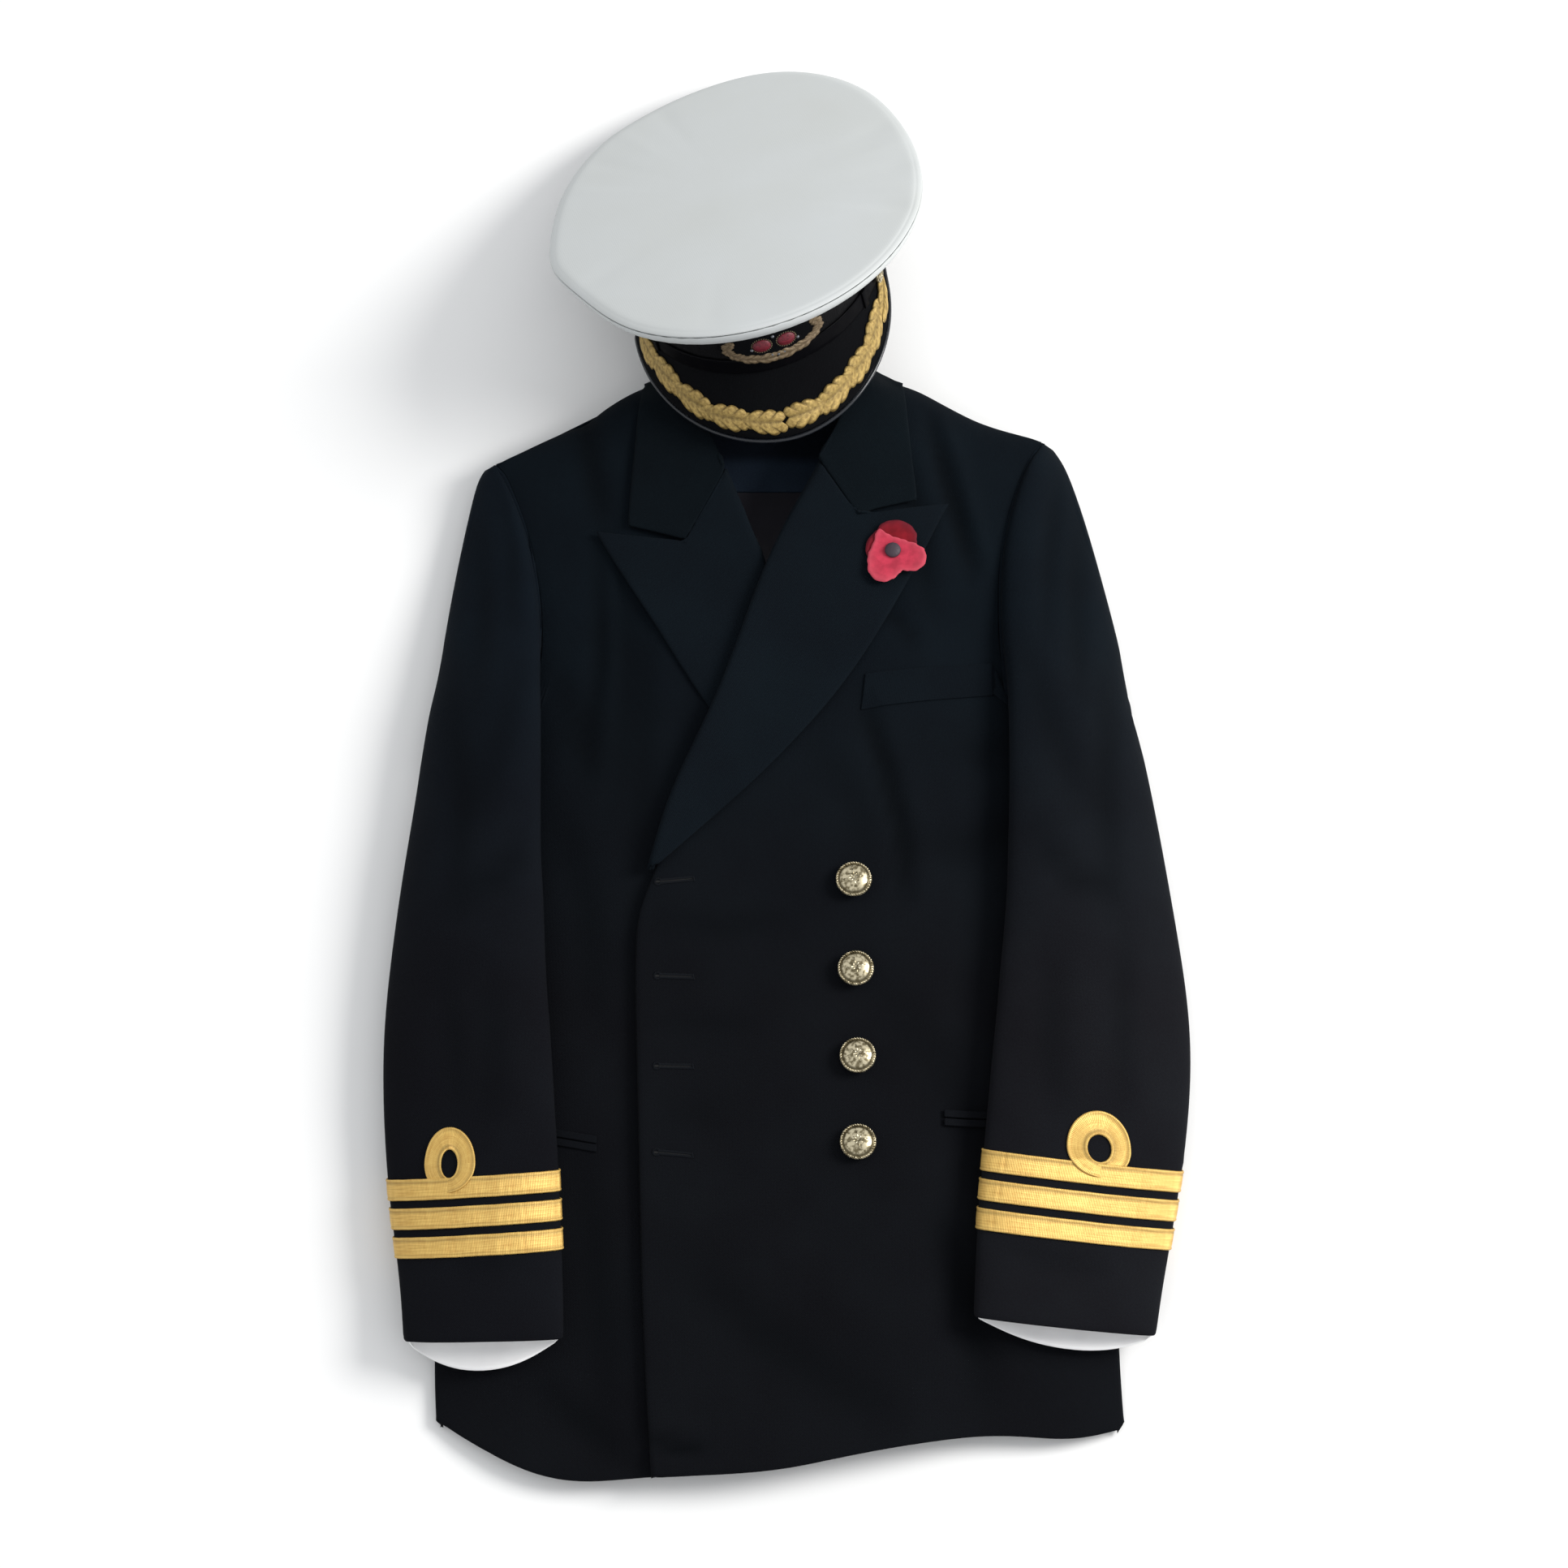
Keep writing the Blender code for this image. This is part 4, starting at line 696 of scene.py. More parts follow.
# Painted light: the lapels use a lighter copy of the navy barathea, as if they caught more of the
# light.
LAPEL_LIT_NAVY = (0.0036, 0.0061, 0.0092)

lapel_barathea = barathea_finish("lapel_barathea", LAPEL_LIT_NAVY)
gorge_rims = []
for side, seed in (("right", 23.0), ("left", 29.0)):
    bm = softened(laid_flat(right_side(f"lapel_{side}")), 2)
    let_wander(bm, 0.06, 0.0005, seed)
    gorge_rims += rim_of(bm, lambda at: at.y > 0.14)
    name, node = f"lapel_facing_{side}", f"lapel_{side}"
    lapel = wear(name, node, bm, lapel_barathea, LAPEL_WALL)


# ---- Collar -------------------------------------------------------------------------------------
# The collar: a fall of the same cloth that turns over a stand at the back neck and meets the
# lapels at the gorge seams.
# Painted shade: the collar uses a darker copy of the navy barathea, for the shade of the cap over
# it.
COLLAR_SHADED_NAVY = (0.0026, 0.0048, 0.0070)
NECK_POINT = (-0.0126, 0.1394)
NECK_SLOPE = {"right": -0.40, "left": 0.507}
COLLAR_CORNERS = (((-0.0905, 0.2690), 0.003), ((0.0740, 0.2740), 0.003))
CORNER_REACH = 0.016

bm = softened(laid_flat(right_side("collar")), 2)
for vert in bm.verts:
    side = "left" if vert.co.x > NECK_POINT[0] else "right"
    edge = NECK_POINT[0] + NECK_SLOPE[side] * (vert.co.y - NECK_POINT[1])
    over = (edge - vert.co.x) if side == "left" else (vert.co.x - edge)
    if over > 0 and vert.co.y < 0.235:
        vert.co.x = edge
for corner, drop in COLLAR_CORNERS:
    for vert in bm.verts:
        away = math.hypot(vert.co.x - corner[0], vert.co.y - corner[1])
        vert.co.y -= drop * bell(away / CORNER_REACH)
sew_to(bm, gorge_rims, 0.0018, lambda at: at.y > 0.14)
collar_barathea_shaded = barathea_finish("collar_barathea_shaded", COLLAR_SHADED_NAVY)
collar = wear("jacket_collar", "collar", bm, collar_barathea_shaded, LAPEL_WALL)


# ---- Pockets ------------------------------------------------------------------------------------
# A breast pocket with a welt, and a jetted hip pocket on each side whose outer end runs under the
# sleeve. The welt is a folded strip sewn down at its ends; each jet is a narrow folded lip.
WELT_WALL = WELT_PROUD = 0.0011
JET_WALL = JET_PROUD = 0.0013
ABOVE_ALL = 0.4


def from_above(tree, x, y):
    """Where a line straight down meets a surface, and the way that it faces there."""
    return tree.ray_cast(Vector((x, y, ABOVE_ALL)), Vector((0, 0, -1)))[:2]


def lay_on(bm, tree, proud):
    """Lays a surface on another one, with its wall just inside the other's face."""
    for vert in bm.verts:
        hit = from_above(tree, vert.co.x, vert.co.y)[0]
        if hit is not None:
            vert.co.z = hit.z + proud


bm = softened(laid_flat(right_side("breast_welt")), 3)
lay_on(bm, front_tops["front_left"], WELT_PROUD)
welt = wear("breast_pocket_welt", "breast_welt", bm, navy_barathea, WELT_WALL)

for side in ("right", "left"):
    for lip in ("upper", "lower"):
        node = f"hip_jet_{lip}_{side}"
        bm = softened(laid_flat(right_side(node)), 3)
        lay_on(bm, front_tops[f"front_{side}"], JET_PROUD)
        name = f"hip_pocket_{lip}_jet_{side}"
        jet = wear(name, node, bm, navy_barathea, JET_WALL)


# ---- Buttonholes --------------------------------------------------------------------------------
# Four empty worked buttonholes down the lapped edge: a slit with an eyelet at the edge end, bound
# all round with close stitches of navy silk twist and barred at the other end.
TWIST = (0.0042, 0.0054, 0.0078)
HOLES = ((-82, 1.8), (-143, -1.0), (-201, -0.6), (-256, -2.2))  # height on the front, and slope
HOLE_START = -82
HOLE_LONG = 25.0
STITCH = (1.9, 0.52, 0.5)
STITCH_STEP = 0.52
EYELET_RING = 2.1
SLIT_HALF = 0.5
EYELET_HALF = 2.2


def stitch_at(bm, tree, x, y, turn, long=STITCH[0], lift=0.1):
    """One stitch of thread on the cloth at a place in millimetres."""
    hit, normal = from_above(tree, x / 1000, y / 1000)
    if hit is None:
        return
    size = Matrix.Diagonal((long / 1000, STITCH[1] / 1000, STITCH[2] / 1000, 1))
    stand = normal.to_track_quat("Z", "Y").to_matrix().to_4x4()
    place = Matrix.Translation(hit + normal * (lift / 1000))
    place = place @ stand @ Matrix.Rotation(turn, 4, "Z") @ size
    bmesh.ops.create_icosphere(bm, subdivisions=1, radius=0.62, matrix=place)


silk_twist, tree, shader = finish_material("silk_twist", TWIST, 0.7, Specular_IOR_Level=0.1)
emboss(tree, shader, speckle(tree, 1400.0, 1.0), 0.3, 0.0001)

bm = bmesh.new()
cloth = front_tops["front_left"]
for height, slope in HOLES:
    steps = int((HOLE_LONG - 4) / STITCH_STEP)
    for step in range(steps + 1):
        x = HOLE_START + 4 + step * STITCH_STEP
        y = height + slope * step / steps
        wobble = 0.16 * noise.noise(Vector((x, y, 0)))
        for side in (-1, 1):
            stitch_at(bm, cloth, x, y + side * 1.05 + wobble, math.pi / 2 + wobble)
    for step in range(16):
        angle = math.radians(22 + 316 * step / 15)
        x = HOLE_START + 2.4 + EYELET_RING * math.cos(angle)
        stitch_at(bm, cloth, x, height + EYELET_RING * math.sin(angle), angle)
    for step in range(7):
        x = HOLE_START + HOLE_LONG + 0.4 - 0.1 * step
        stitch_at(bm, cloth, x, height + slope + (step - 3) * 0.5, 0, 1.5, 0.2)
new_piece("buttonhole_stitching", bm, silk_twist)

# The slit itself, which gapes a little: a near-black lens laid on the cloth as painted shade for
# the gap, with a round eyelet at its end.
gap_shade, tree, shader = finish_material("buttonhole_gap", (0.0004, 0.0005, 0.0007), 0.9)
shade_speckle = speckle(tree, 900.0)
shade = two_tone(tree, shade_speckle, (0.0002, 0.0003, 0.0004), (0.0010, 0.0013, 0.0018), 0, 1)
tree.links.new(shade, shader.inputs["Base Color"])
bm = bmesh.new()
for height, slope in HOLES:
    outline = []
    for step in range(40):
        angle = math.tau * step / 40
        along = 0.5 - 0.5 * math.cos(angle)
        wide = SLIT_HALF * math.sin(angle) + EYELET_HALF * math.sin(angle) * math.exp(-along * 14)
        x = HOLE_START + 0.9 + along * (HOLE_LONG - 1.6)
        hit, normal = from_above(cloth, x / 1000, (height + slope * along + wide) / 1000)
        outline.append(bm.verts.new(hit + normal * 0.00012))
    bmesh.ops.triangulate(bm, faces=[bm.faces.new(outline)])
bmesh.ops.recalc_face_normals(bm, faces=bm.faces)
new_piece("buttonhole_slits", faced(bm), gap_shade)


# ---- Buttons ------------------------------------------------------------------------------------
# Four gilt buttons: a stamped dome with a roped rim and a compass star in low relief, washed with
# a dark lacquer that stays in the hollows.
GILT = (0.70, 0.62, 0.43)
ROPE_STRANDS = 40
STAR_POINTS = 8
BUTTON_FOOT = 0.0004
BUTTON_PROFILE = (
    (0.0, 1.0), (0.28, 0.975), (0.52, 0.90), (0.70, 0.775), (0.795, 0.665), (0.82, 0.60),
    (0.86, 0.57), (0.93, 0.56), (0.985, 0.47), (1.0, 0.36), (0.97, 0.25), (0.86, 0.19),
    (0.5, 0.14), (0.42, 0.0), (0.0, 0.0),
)

gilt, tree, shader = finish_material("old_gilt", GILT, 0.3, 0.92, Specular_IOR_Level=0.5)
spots = speckle(tree, 420.0, 4.0)
tarnish = two_tone(tree, spots, (0.20, 0.165, 0.095), GILT, 0.40, 0.56)
hollow = add(tree, "Attribute", attribute_name="hollow").outputs["Fac"]
washed = blend(tree, hollow, tarnish, (0.085, 0.068, 0.035, 1))
tree.links.new(washed, shader.inputs["Base Color"])
dull = add(tree, "MapRange", {0: spots, 3: 0.40, 4: 0.22})
tree.links.new(dull.outputs[0], shader.inputs["Roughness"])


def roped_button(name, node, stand, radius, tall):
    """A domed button on its foot, where stand turns its face from +Z."""
    bm = bmesh.new()
    wash = bm.verts.layers.float.new("hollow")
    ring = [bm.verts.new((radius * out, 0, tall * up)) for out, up in BUTTON_PROFILE]
    ring += [bm.edges.new(pair) for pair in zip(ring, ring[1:])]
    round_z = {"cent": (0, 0, 0), "axis": (0, 0, 1), "angle": math.tau, "steps": 56}
    bmesh.ops.spin(bm, geom=ring, use_merge=True, **round_z)
    bmesh.ops.remove_doubles(bm, verts=bm.verts, dist=1e-6)
    bmesh.ops.recalc_face_normals(bm, faces=bm.faces)
    for vert in bm.verts:
        out = vert.co.xy.length / radius
        if 0.78 < out < 0.88 and vert.co.z > tall * 0.4:
            vert[wash] = 0.9
    for strand in range(ROPE_STRANDS):
        angle = math.tau * strand / ROPE_STRANDS
        turn = Matrix.Rotation(angle, 4, "Z")
        place = Matrix.Translation((radius * 0.925, 0, tall * 0.56))
        lean = Matrix.Rotation(math.radians(52), 4, "Z")
        size = Matrix.Diagonal((radius * 0.085, radius * 0.044, tall * 0.10, 1))
        place = turn @ place @ lean @ size
        bmesh.ops.create_icosphere(bm, subdivisions=2, radius=1.0, matrix=place)
    for point in range(STAR_POINTS):
        long = 0.60 if point % 2 == 0 else 0.36
        turn = Matrix.Rotation(math.tau * point / STAR_POINTS + math.radians(11), 4, "Z")
        tip = [(0.06, 0.0), (0.16, 0.075), (long, 0.0), (0.16, -0.075)]
        base = [bm.verts.new((radius * x, radius * y, 0)) for x, y in tip]
        face = bm.faces.new(base)
        bmesh.ops.inset_individual(bm, faces=[face], thickness=radius * 0.022)
        for vert in base:
            vert[wash] = 0.85
        for vert in face.verts:
            vert[wash] = 0.0
        bmesh.ops.translate(bm, verts=face.verts, vec=(0, 0, tall * 0.055))
        star = [*base, *face.verts]
        bmesh.ops.transform(bm, matrix=turn, verts=star)
        for vert in star:
            out = vert.co.xy.length / radius
            vert.co.z += tall * (1.0 - 0.36 * out ** 2.1) - tall * 0.006
    bmesh.ops.transform(bm, matrix=stand, verts=bm.verts)
    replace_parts(new_piece(name, bm, gilt), node)


for number in range(1, 5):
    low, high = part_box(f"button_{number}")
    foot = Vector(((low.x + high.x) / 2, (low.y + high.y) / 2, low.z + BUTTON_FOOT))
    radius, tall = (high.x - low.x + high.y - low.y) / 4, high.z - low.z - BUTTON_FOOT
    name, node = f"gilt_button_{number}", f"button_{number}"
    roped_button(name, node, Matrix.Translation(foot), radius, tall)


# ---- Flower -------------------------------------------------------------------------------------
# A red flower pinned on the left lapel: stiffened cloth petals in two layers of one red, the front
# one painted lighter as if lit and the one behind painted darker as if in shade, and a domed dark
# centre. Each layer is one cut shape, cupped a little and curled.
PETAL_WALL = 0.0005
BACK_RED_SHADED, BACK_EDGE = (0.20, 0.006, 0.013), (0.10, 0.012, 0.022)
FRONT_RED_LIT, FRONT_EDGE = (0.46, 0.036, 0.068), (0.55, 0.085, 0.12)
Outline = namedtuple("Outline", "turn reach")
FRONT_PETALS = [
    Outline(-14, 22.2), Outline(0, 20.4), Outline(14, 16.2), Outline(34, 11.4), Outline(62, 9.6),
    Outline(88, 9.4), Outline(108, 12.0), Outline(120, 17.0), Outline(132, 16.0),
    Outline(150, 13.6), Outline(172, 14.0), Outline(190, 16.0), Outline(208, 18.4),
    Outline(226, 22.2), Outline(242, 24.0), Outline(256, 23.4), Outline(270, 20.2),
    Outline(284, 16.6), Outline(294, 15.2), Outline(304, 17.6), Outline(318, 21.2),
    Outline(334, 22.8), Outline(346, 22.2),
]
BACK_PETALS = [
    Outline(-60, 12.0), Outline(-20, 14.0), Outline(4, 14.6), Outline(24, 17.0), Outline(40, 19.8),
    Outline(58, 21.4), Outline(78, 21.6), Outline(96, 21.0), Outline(112, 20.0), Outline(124, 17.8),
    Outline(138, 17.4), Outline(156, 17.8), Outline(176, 17.6), Outline(196, 16.6),
    Outline(220, 13.0), Outline(260, 12.0), Outline(300, 12.0),
]


def petal_finish(name, colour, edge):
    """Brushed cloth: a matt red with a soft pile and a mottled tone, turning to the edge colour at
    its rim, a painted highlight on the front petals.
    """
    material, tree, shader = finish_material(name, colour, 0.8, Specular_IOR_Level=0.15)
    tone = two_tone(tree, speckle(tree, 160.0, 5.0), toned(colour, 0.78), toned(colour, 1.18))
    rim = add(tree, "Attribute", attribute_name="rim").outputs["Fac"]
    tree.links.new(blend(tree, rim, tone, (*edge, 1)), shader.inputs["Base Color"])
    emboss(tree, shader, speckle(tree, 2600.0), 0.5, 0.0002)
    return material


def petal_layer(outline, rings, spokes, height, cup, seed):
    """A cut shape with its outline given round its centre, cupped and gently curled."""
    turns = [row.turn for row in outline] + [outline[0].turn + 360]
    reaches = [row.reach for row in outline] + [outline[0].reach]
    bm = bmesh.new()
    rim = bm.verts.layers.float.new("rim")
    centre = bm.verts.new((0, 0, 0))
    loops = []
    for ring in range(1, rings + 1):
        part = ring / rings
        loop = []
        for spoke in range(spokes):
            turn = turns[0] + 360 * spoke / spokes
            at = next(i for i in range(len(turns) - 1) if turns[i] <= turn <= turns[i + 1])
            share = (turn - turns[at]) / (turns[at + 1] - turns[at])
            share = share * share * (3 - 2 * share)
            reach = (reaches[at] * (1 - share) + reaches[at + 1] * share) * part
            angle = math.radians(turn)
            x, y = reach * math.cos(angle), reach * math.sin(angle)
            curl = noise.noise(Vector((x / 9, y / 9, seed)))
            z = height + cup * (reach / 20) ** 2 + 1.1 * part ** 2 * curl
            loop.append(bm.verts.new((x / 1000, y / 1000, z / 1000)))
            loop[-1][rim] = 0.7 * part**6
        loops.append(loop)
    centre.co.z = height / 1000
    for a, b in zip(range(spokes), [*range(1, spokes), 0]):
        bm.faces.new((centre, loops[0][a], loops[0][b]))
        for inner, outer in zip(loops, loops[1:]):
            bm.faces.new((inner[a], outer[a], outer[b], inner[b]))
    bmesh.ops.recalc_face_normals(bm, faces=bm.faces)
    return bm


low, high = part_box("flower_petals")
flower_at = Vector(((low.x + high.x) / 2, (low.y + high.y) / 2 + 0.0018, low.z))
for name, outline, colour, edge, height, cup, seed in (
    ("flower_back_petals", BACK_PETALS, BACK_RED_SHADED, BACK_EDGE, 0.7, 0.6, 3.3),
    ("flower_front_petals", FRONT_PETALS, FRONT_RED_LIT, FRONT_EDGE, 1.9, 1.6, 8.1),
):
    bm = petal_layer(outline, 9, 92, height, cup, seed)
    bmesh.ops.translate(bm, verts=bm.verts, vec=flower_at)
    petal_cloth = petal_finish(name + "_cloth", colour, edge)
    wear(name, "flower_petals", bm, petal_cloth, PETAL_WALL, 0)

boss, tree, shader = finish_material("flower_boss", (0.040, 0.024, 0.036), 0.6)
emboss(tree, shader, speckle(tree, 700.0, 3.0), 0.35, 0.0002)
bm = bmesh.new()
bmesh.ops.create_uvsphere(bm, u_segments=32, v_segments=16, radius=0.0052)
for vert in bm.verts:
    vert.co.z = max(vert.co.z, -0.0015) * 0.42
    ripple = 0.00012 * math.cos(12 * math.atan2(vert.co.y, vert.co.x))
    vert.co.z += ripple * min(vert.co.xy.length / 0.004, 1)
bmesh.ops.translate(bm, verts=bm.verts, vec=flower_at + Vector((0, 0, 0.0030)))
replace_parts(new_piece("flower_boss", bm, boss), "flower_centre")


# ---- Gold lace ----------------------------------------------------------------------------------
# Three rings of gold lace sewn round each cuff: a flat braid of metal thread with a cord along both
# edges, drawn in a little where it is stitched. The uppermost carries a round curl on the top.
GOLD = (0.78, 0.53, 0.155)
LACE_WIDE = 0.0143
LACE_PROUD = 0.0012
LACE_WALL = 0.0010
LACE_THREAD = 0.00075
LACE_PAINTED_SHADE = ((0.08, 0.95), (0.14, 0.80), (0.24, 1.0), (0.70, 0.96), (0.83, 0.62), (0.90, 0.92))
Across = namedtuple("Across", "part lift")
LACE_SECTION = [
    Across(0.0, -0.35), Across(0.03, 0.14), Across(0.085, 0.2), Across(0.13, -0.10),
    Across(0.3, 0.02), Across(0.5, 0.06), Across(0.7, 0.02), Across(0.87, -0.10),
    Across(0.915, 0.2), Across(0.97, 0.14), Across(1.0, -0.35),
]


def lace_finish(name, gold):
    """Metal braid: bright threads across it, with painted shade in the gutters beside its corded
    edges, deeper beside one of them.
    """
    material, tree, shader = finish_material(name, gold, 0.44, 0.45, Specular_IOR_Level=0.6)
    flat = add(tree, "UVMap").outputs["UV"]
    apart = add(tree, "SeparateXYZ", {"Vector": flat})
    grains = []
    for size, detail in (((60.0, 1100.0, 1.0), 4.0), ((420.0, 60.0, 1.0), 3.0)):
        drawn = add(tree, "Mapping", {"Vector": flat, "Scale": size}).outputs[0]
        grain = add(tree, "TexNoise", {"Vector": drawn, "Scale": 1.0, "Detail": detail})
        grains.append(grain.outputs["Fac"])
    streaks, pucker = grains
    both = add(tree, "Mix", {0: 0.30, 2: streaks, 3: pucker}).outputs[0]
    tone = two_tone(tree, both, toned(gold, 0.72, 0.62, 0.5), gold, 0.34, 0.62)
    # Painted shade across the braid: darker in the gutters by its edges.
    part = add(tree, "Math", {0: apart.outputs["Y"], 1: LACE_WIDE}, operation="DIVIDE")
    edges = add(tree, "ValToRGB", {"Fac": part.outputs[0]})
    ramp = edges.color_ramp
    ramp.elements[0].color, ramp.elements[1].color = (0.86, 0.86, 0.86, 1), (1, 1, 1, 1)
    for at, grey in LACE_PAINTED_SHADE:
        ramp.elements.new(at).color = (grey, grey * 0.98, grey * 0.93, 1)
    shaded = blend(tree, 1.0, tone, edges.outputs["Color"], blend_type="MULTIPLY")
    tree.links.new(shaded, shader.inputs["Base Color"])
    size = math.tau / (20 * LACE_THREAD)
    threads = add(tree, "TexWave", {"Vector": flat, "Scale": size, "Distortion": 0.4})
    height = add(tree, "Math", {0: threads.outputs["Fac"], 1: pucker}, operation="ADD")
    emboss(tree, shader, height.outputs[0], 0.6, 0.0002)
    return material


gold_lace = lace_finish("gold_lace", GOLD)


def rim_lines(bm):
    """The open edges of a surface, followed into closed lines of points."""
    left = dict.fromkeys(e for e in bm.edges if e.is_boundary)
    lines = []
    while left:
        edge = left.popitem()[0]
        start, at = edge.verts
        line = [start.co.copy(), at.co.copy()]
        while True:
            step = next((e for e in at.link_edges if e in left), None)
            if step is None:
                break
            left.pop(step)
            at = step.other_vert(at)
            line.append(at.co.copy())
        lines.append(line[:-1] if (line[0] - line[-1]).length < 1e-7 else line)
    return lines


def read_closed(line, count, start):
    """A closed line read at even steps of its length, from the point nearest to a start."""
    first = min(range(len(line)), key=lambda i: (line[i] - start).length)
    line = line[first:] + line[: first + 1]
    if (line[1] - line[0]).x < 0:
        line.reverse()
    ends = [0.0]
    for a, b in zip(line, line[1:]):
        ends.append(ends[-1] + (b - a).length)
    points, at = [], 0
    for step in range(count):
        along = ends[-1] * step / count
        while ends[at + 1] < along:
            at += 1
        share = (along - ends[at]) / (ends[at + 1] - ends[at])
        points.append(line[at].lerp(line[at + 1], share))
    return points, ends[-1]


def on_cloth(trees, at, proud):
    """The place over the nearest cloth, proud of its face."""
    hits = [tree.find_nearest(at) for tree in trees]
    hit, normal = min(hits, key=lambda found: (found[0] - at).length)[:2]
    return hit + normal * proud


def close_rows(bm, rows):
    """The faces between closed rows of points, row by row."""
    count, faces = len(rows[0]), []
    for lower, upper in zip(rows, rows[1:]):
        for step in range(count):
            after = (step + 1) % count
            faces.append(bm.faces.new((lower[step], lower[after], upper[after], upper[step])))
    return faces


def braid(name, rows, long, trees, ride_over=None):
    """A closed band of lace whose rows run along it, edge to edge, laid on the cloth."""
    bm = bmesh.new()
    layer = bm.loops.layers.uv.new("UVMap")
    grid = []
    for across, row in zip(LACE_SECTION, rows):
        line = []
        for step, at in enumerate(row):
            along = long * step / len(row)
            pucker = 0.10 * noise.noise(Vector((along / 0.0022, across.part * 1.4, len(name))))
            pucker += 0.16 * noise.noise(Vector((along / 0.009, across.part * 2.0, 5.0)))
            lift = LACE_PROUD + (across.lift + pucker) / 1000 + (ride_over(at) if ride_over else 0)
            line.append(bm.verts.new(on_cloth(trees, at, lift)))
        grid.append(line)
    count = len(rows[0])
    for number, face in enumerate(close_rows(bm, grid)):
        low, step = divmod(number, count)
        ends = ((step, low), (step + 1, low), (step + 1, low + 1), (step, low + 1))
        for loop, (along, across) in zip(face.loops, ends):
            loop[layer].uv = (long * along / count, LACE_WIDE * LACE_SECTION[across].part)
    bmesh.ops.recalc_face_normals(bm, faces=bm.faces)
    return bm


cuff_trees, ring_lines = {}, {}
for side in ("right", "left"):
    trees = []
    for sleeve_piece in sleeve_pieces[side]:
        bm = bmesh.new()
        bm.from_mesh(sleeve_piece.data)
        trees.append(BVHTree.FromBMesh(bm))
        bm.free()
    cuff_trees[side] = trees
    for number in range(1, 4):
        node = f"lace_{side}_{number}"
        bm = right_side(node)
        lines = rim_lines(bm)
        bm.free()
        lines.sort(key=lambda line: sum(at.y for at in line) / len(line))
        start = min(lines[0], key=lambda at: (at.z, at.x))
        low_line, long = read_closed(lines[0], 300, start)
        high_line, _ = read_closed(lines[-1], 300, start)
        rows = [
            [a.lerp(b, across.part) for a, b in zip(low_line, high_line)] for across in LACE_SECTION
        ]
        bm = braid(node, rows, long, trees)
        ring_lines[side] = (low_line, high_line)
        wear(f"gold_lace_{side}_{number}", node, bm, gold_lace, LACE_WALL, 0)

# The curl: a round loop of the same lace, whose inner limb crosses over the ring and whose outer
# limb starts under it.
Curl = namedtuple("Curl", "half_x above hole_x hole_y")
CURLS = {"right": Curl(17.0, 23.4, 5.4, 8.9), "left": Curl(21.0, 24.0, 7.6, 8.6)}
CURL_BELOW = 18.6
CURL_LONG = 0.09
CURL_WALL = 0.0005
CROSSING = 0.0009
STARTS_UNDER = -0.0007

for side in ("right", "left"):
    node = f"curl_{side}"
    low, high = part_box(node)
    shape = CURLS[side]
    low_line, high_line = ring_lines[side]
    near = [at for at in high_line if at.z > high.z - 0.012 and low.x < at.x < high.x]
    start, end = min(near, key=lambda at: at.x), max(near, key=lambda at: at.x)
    slope = (end.y - start.y) / (end.x - start.x)
    centre = Vector(((low.x + high.x) / 2, high.y - shape.above / 1000, (low.z + high.z) / 2))
    outward = 1 if side == "left" else -1

    def ride_over(at):
        """How far the curl is raised: over the ring at one limb, under it at the other."""
        edge = start.y + slope * (at.x - start.x)
        inside = clamp((edge + 0.0015 - at.y) / 0.003)
        crossing = clamp(0.5 - outward * (at.x - centre.x) / 0.008)
        return inside * (STARTS_UNDER + (CROSSING - STARTS_UNDER) * crossing)

    rows = []
    for across in LACE_SECTION:
        row = []
        for step in range(150):
            turn = math.tau * step / 150
            tall = shape.above if math.sin(turn) > 0 else CURL_BELOW
            x = shape.half_x + (shape.hole_x - shape.half_x) * across.part
            y = tall + (shape.hole_y - tall) * across.part
            x, y = x * math.cos(turn) / 1000, y * math.sin(turn) / 1000
            row.append(centre + Vector((x, y + slope * x, 0)))
        rows.append(row)
    bm = braid(node, rows, CURL_LONG, cuff_trees[side], ride_over)
    wear(f"gold_lace_curl_{side}", node, faced(bm), gold_lace, CURL_WALL, 0)


# ---- Cap cover ----------------------------------------------------------------------------------
# The white cotton cover of a peaked cap: a round top stretched over a hidden hoop, and a side that
# tapers down to the band. They are seamed at the hoop, with a stitched line beside the seam.
WHITE = (0.565, 0.588, 0.588)
COVER_WALL = 0.0011
DRILL = 0.0009
TOP_ROWS = (
    1.0, 0.995, 0.989, 0.983, 0.977, 0.972, 0.967, 0.962, 0.955, 0.945, 0.93, 0.90, 0.86, 0.81,
    0.75, 0.68, 0.60, 0.51, 0.41, 0.31, 0.21, 0.12, 0.05,
)
EDGE_ROUND = 0.008
EDGE_DROP = 0.0020
SEAM_SUNK = 0.0005
SEAM_WIDE = 0.0008
STITCH_IN = 0.0036
STITCH_WIDE = 0.0006
SEAM_SIDE = Vector((0.55, -0.83, 0))
Pull = namedtuple("Pull", "turn wide deep")
PULLS = [
    Pull(-14, 3.0, 0.7), Pull(-4, 2.4, -0.5), Pull(8, 3.4, 0.8), Pull(20, 2.6, -0.5),
    Pull(31, 3.6, 0.5), Pull(118, 3.4, 0.4), Pull(134, 2.6, -0.3), Pull(150, 3.4, 0.45),
    Pull(166, 2.8, -0.3), Pull(216, 4.0, 0.4), Pull(262, 4.2, 0.3),
]


def turned_line(line):
    """The middle of a closed line and the direction that it faces."""
    middle = sum(line, Vector()) / len(line)
    facing = sum(((a - middle).cross(b - middle) for a, b in zip(line, line[1:])), Vector())
    return middle, facing.normalized()


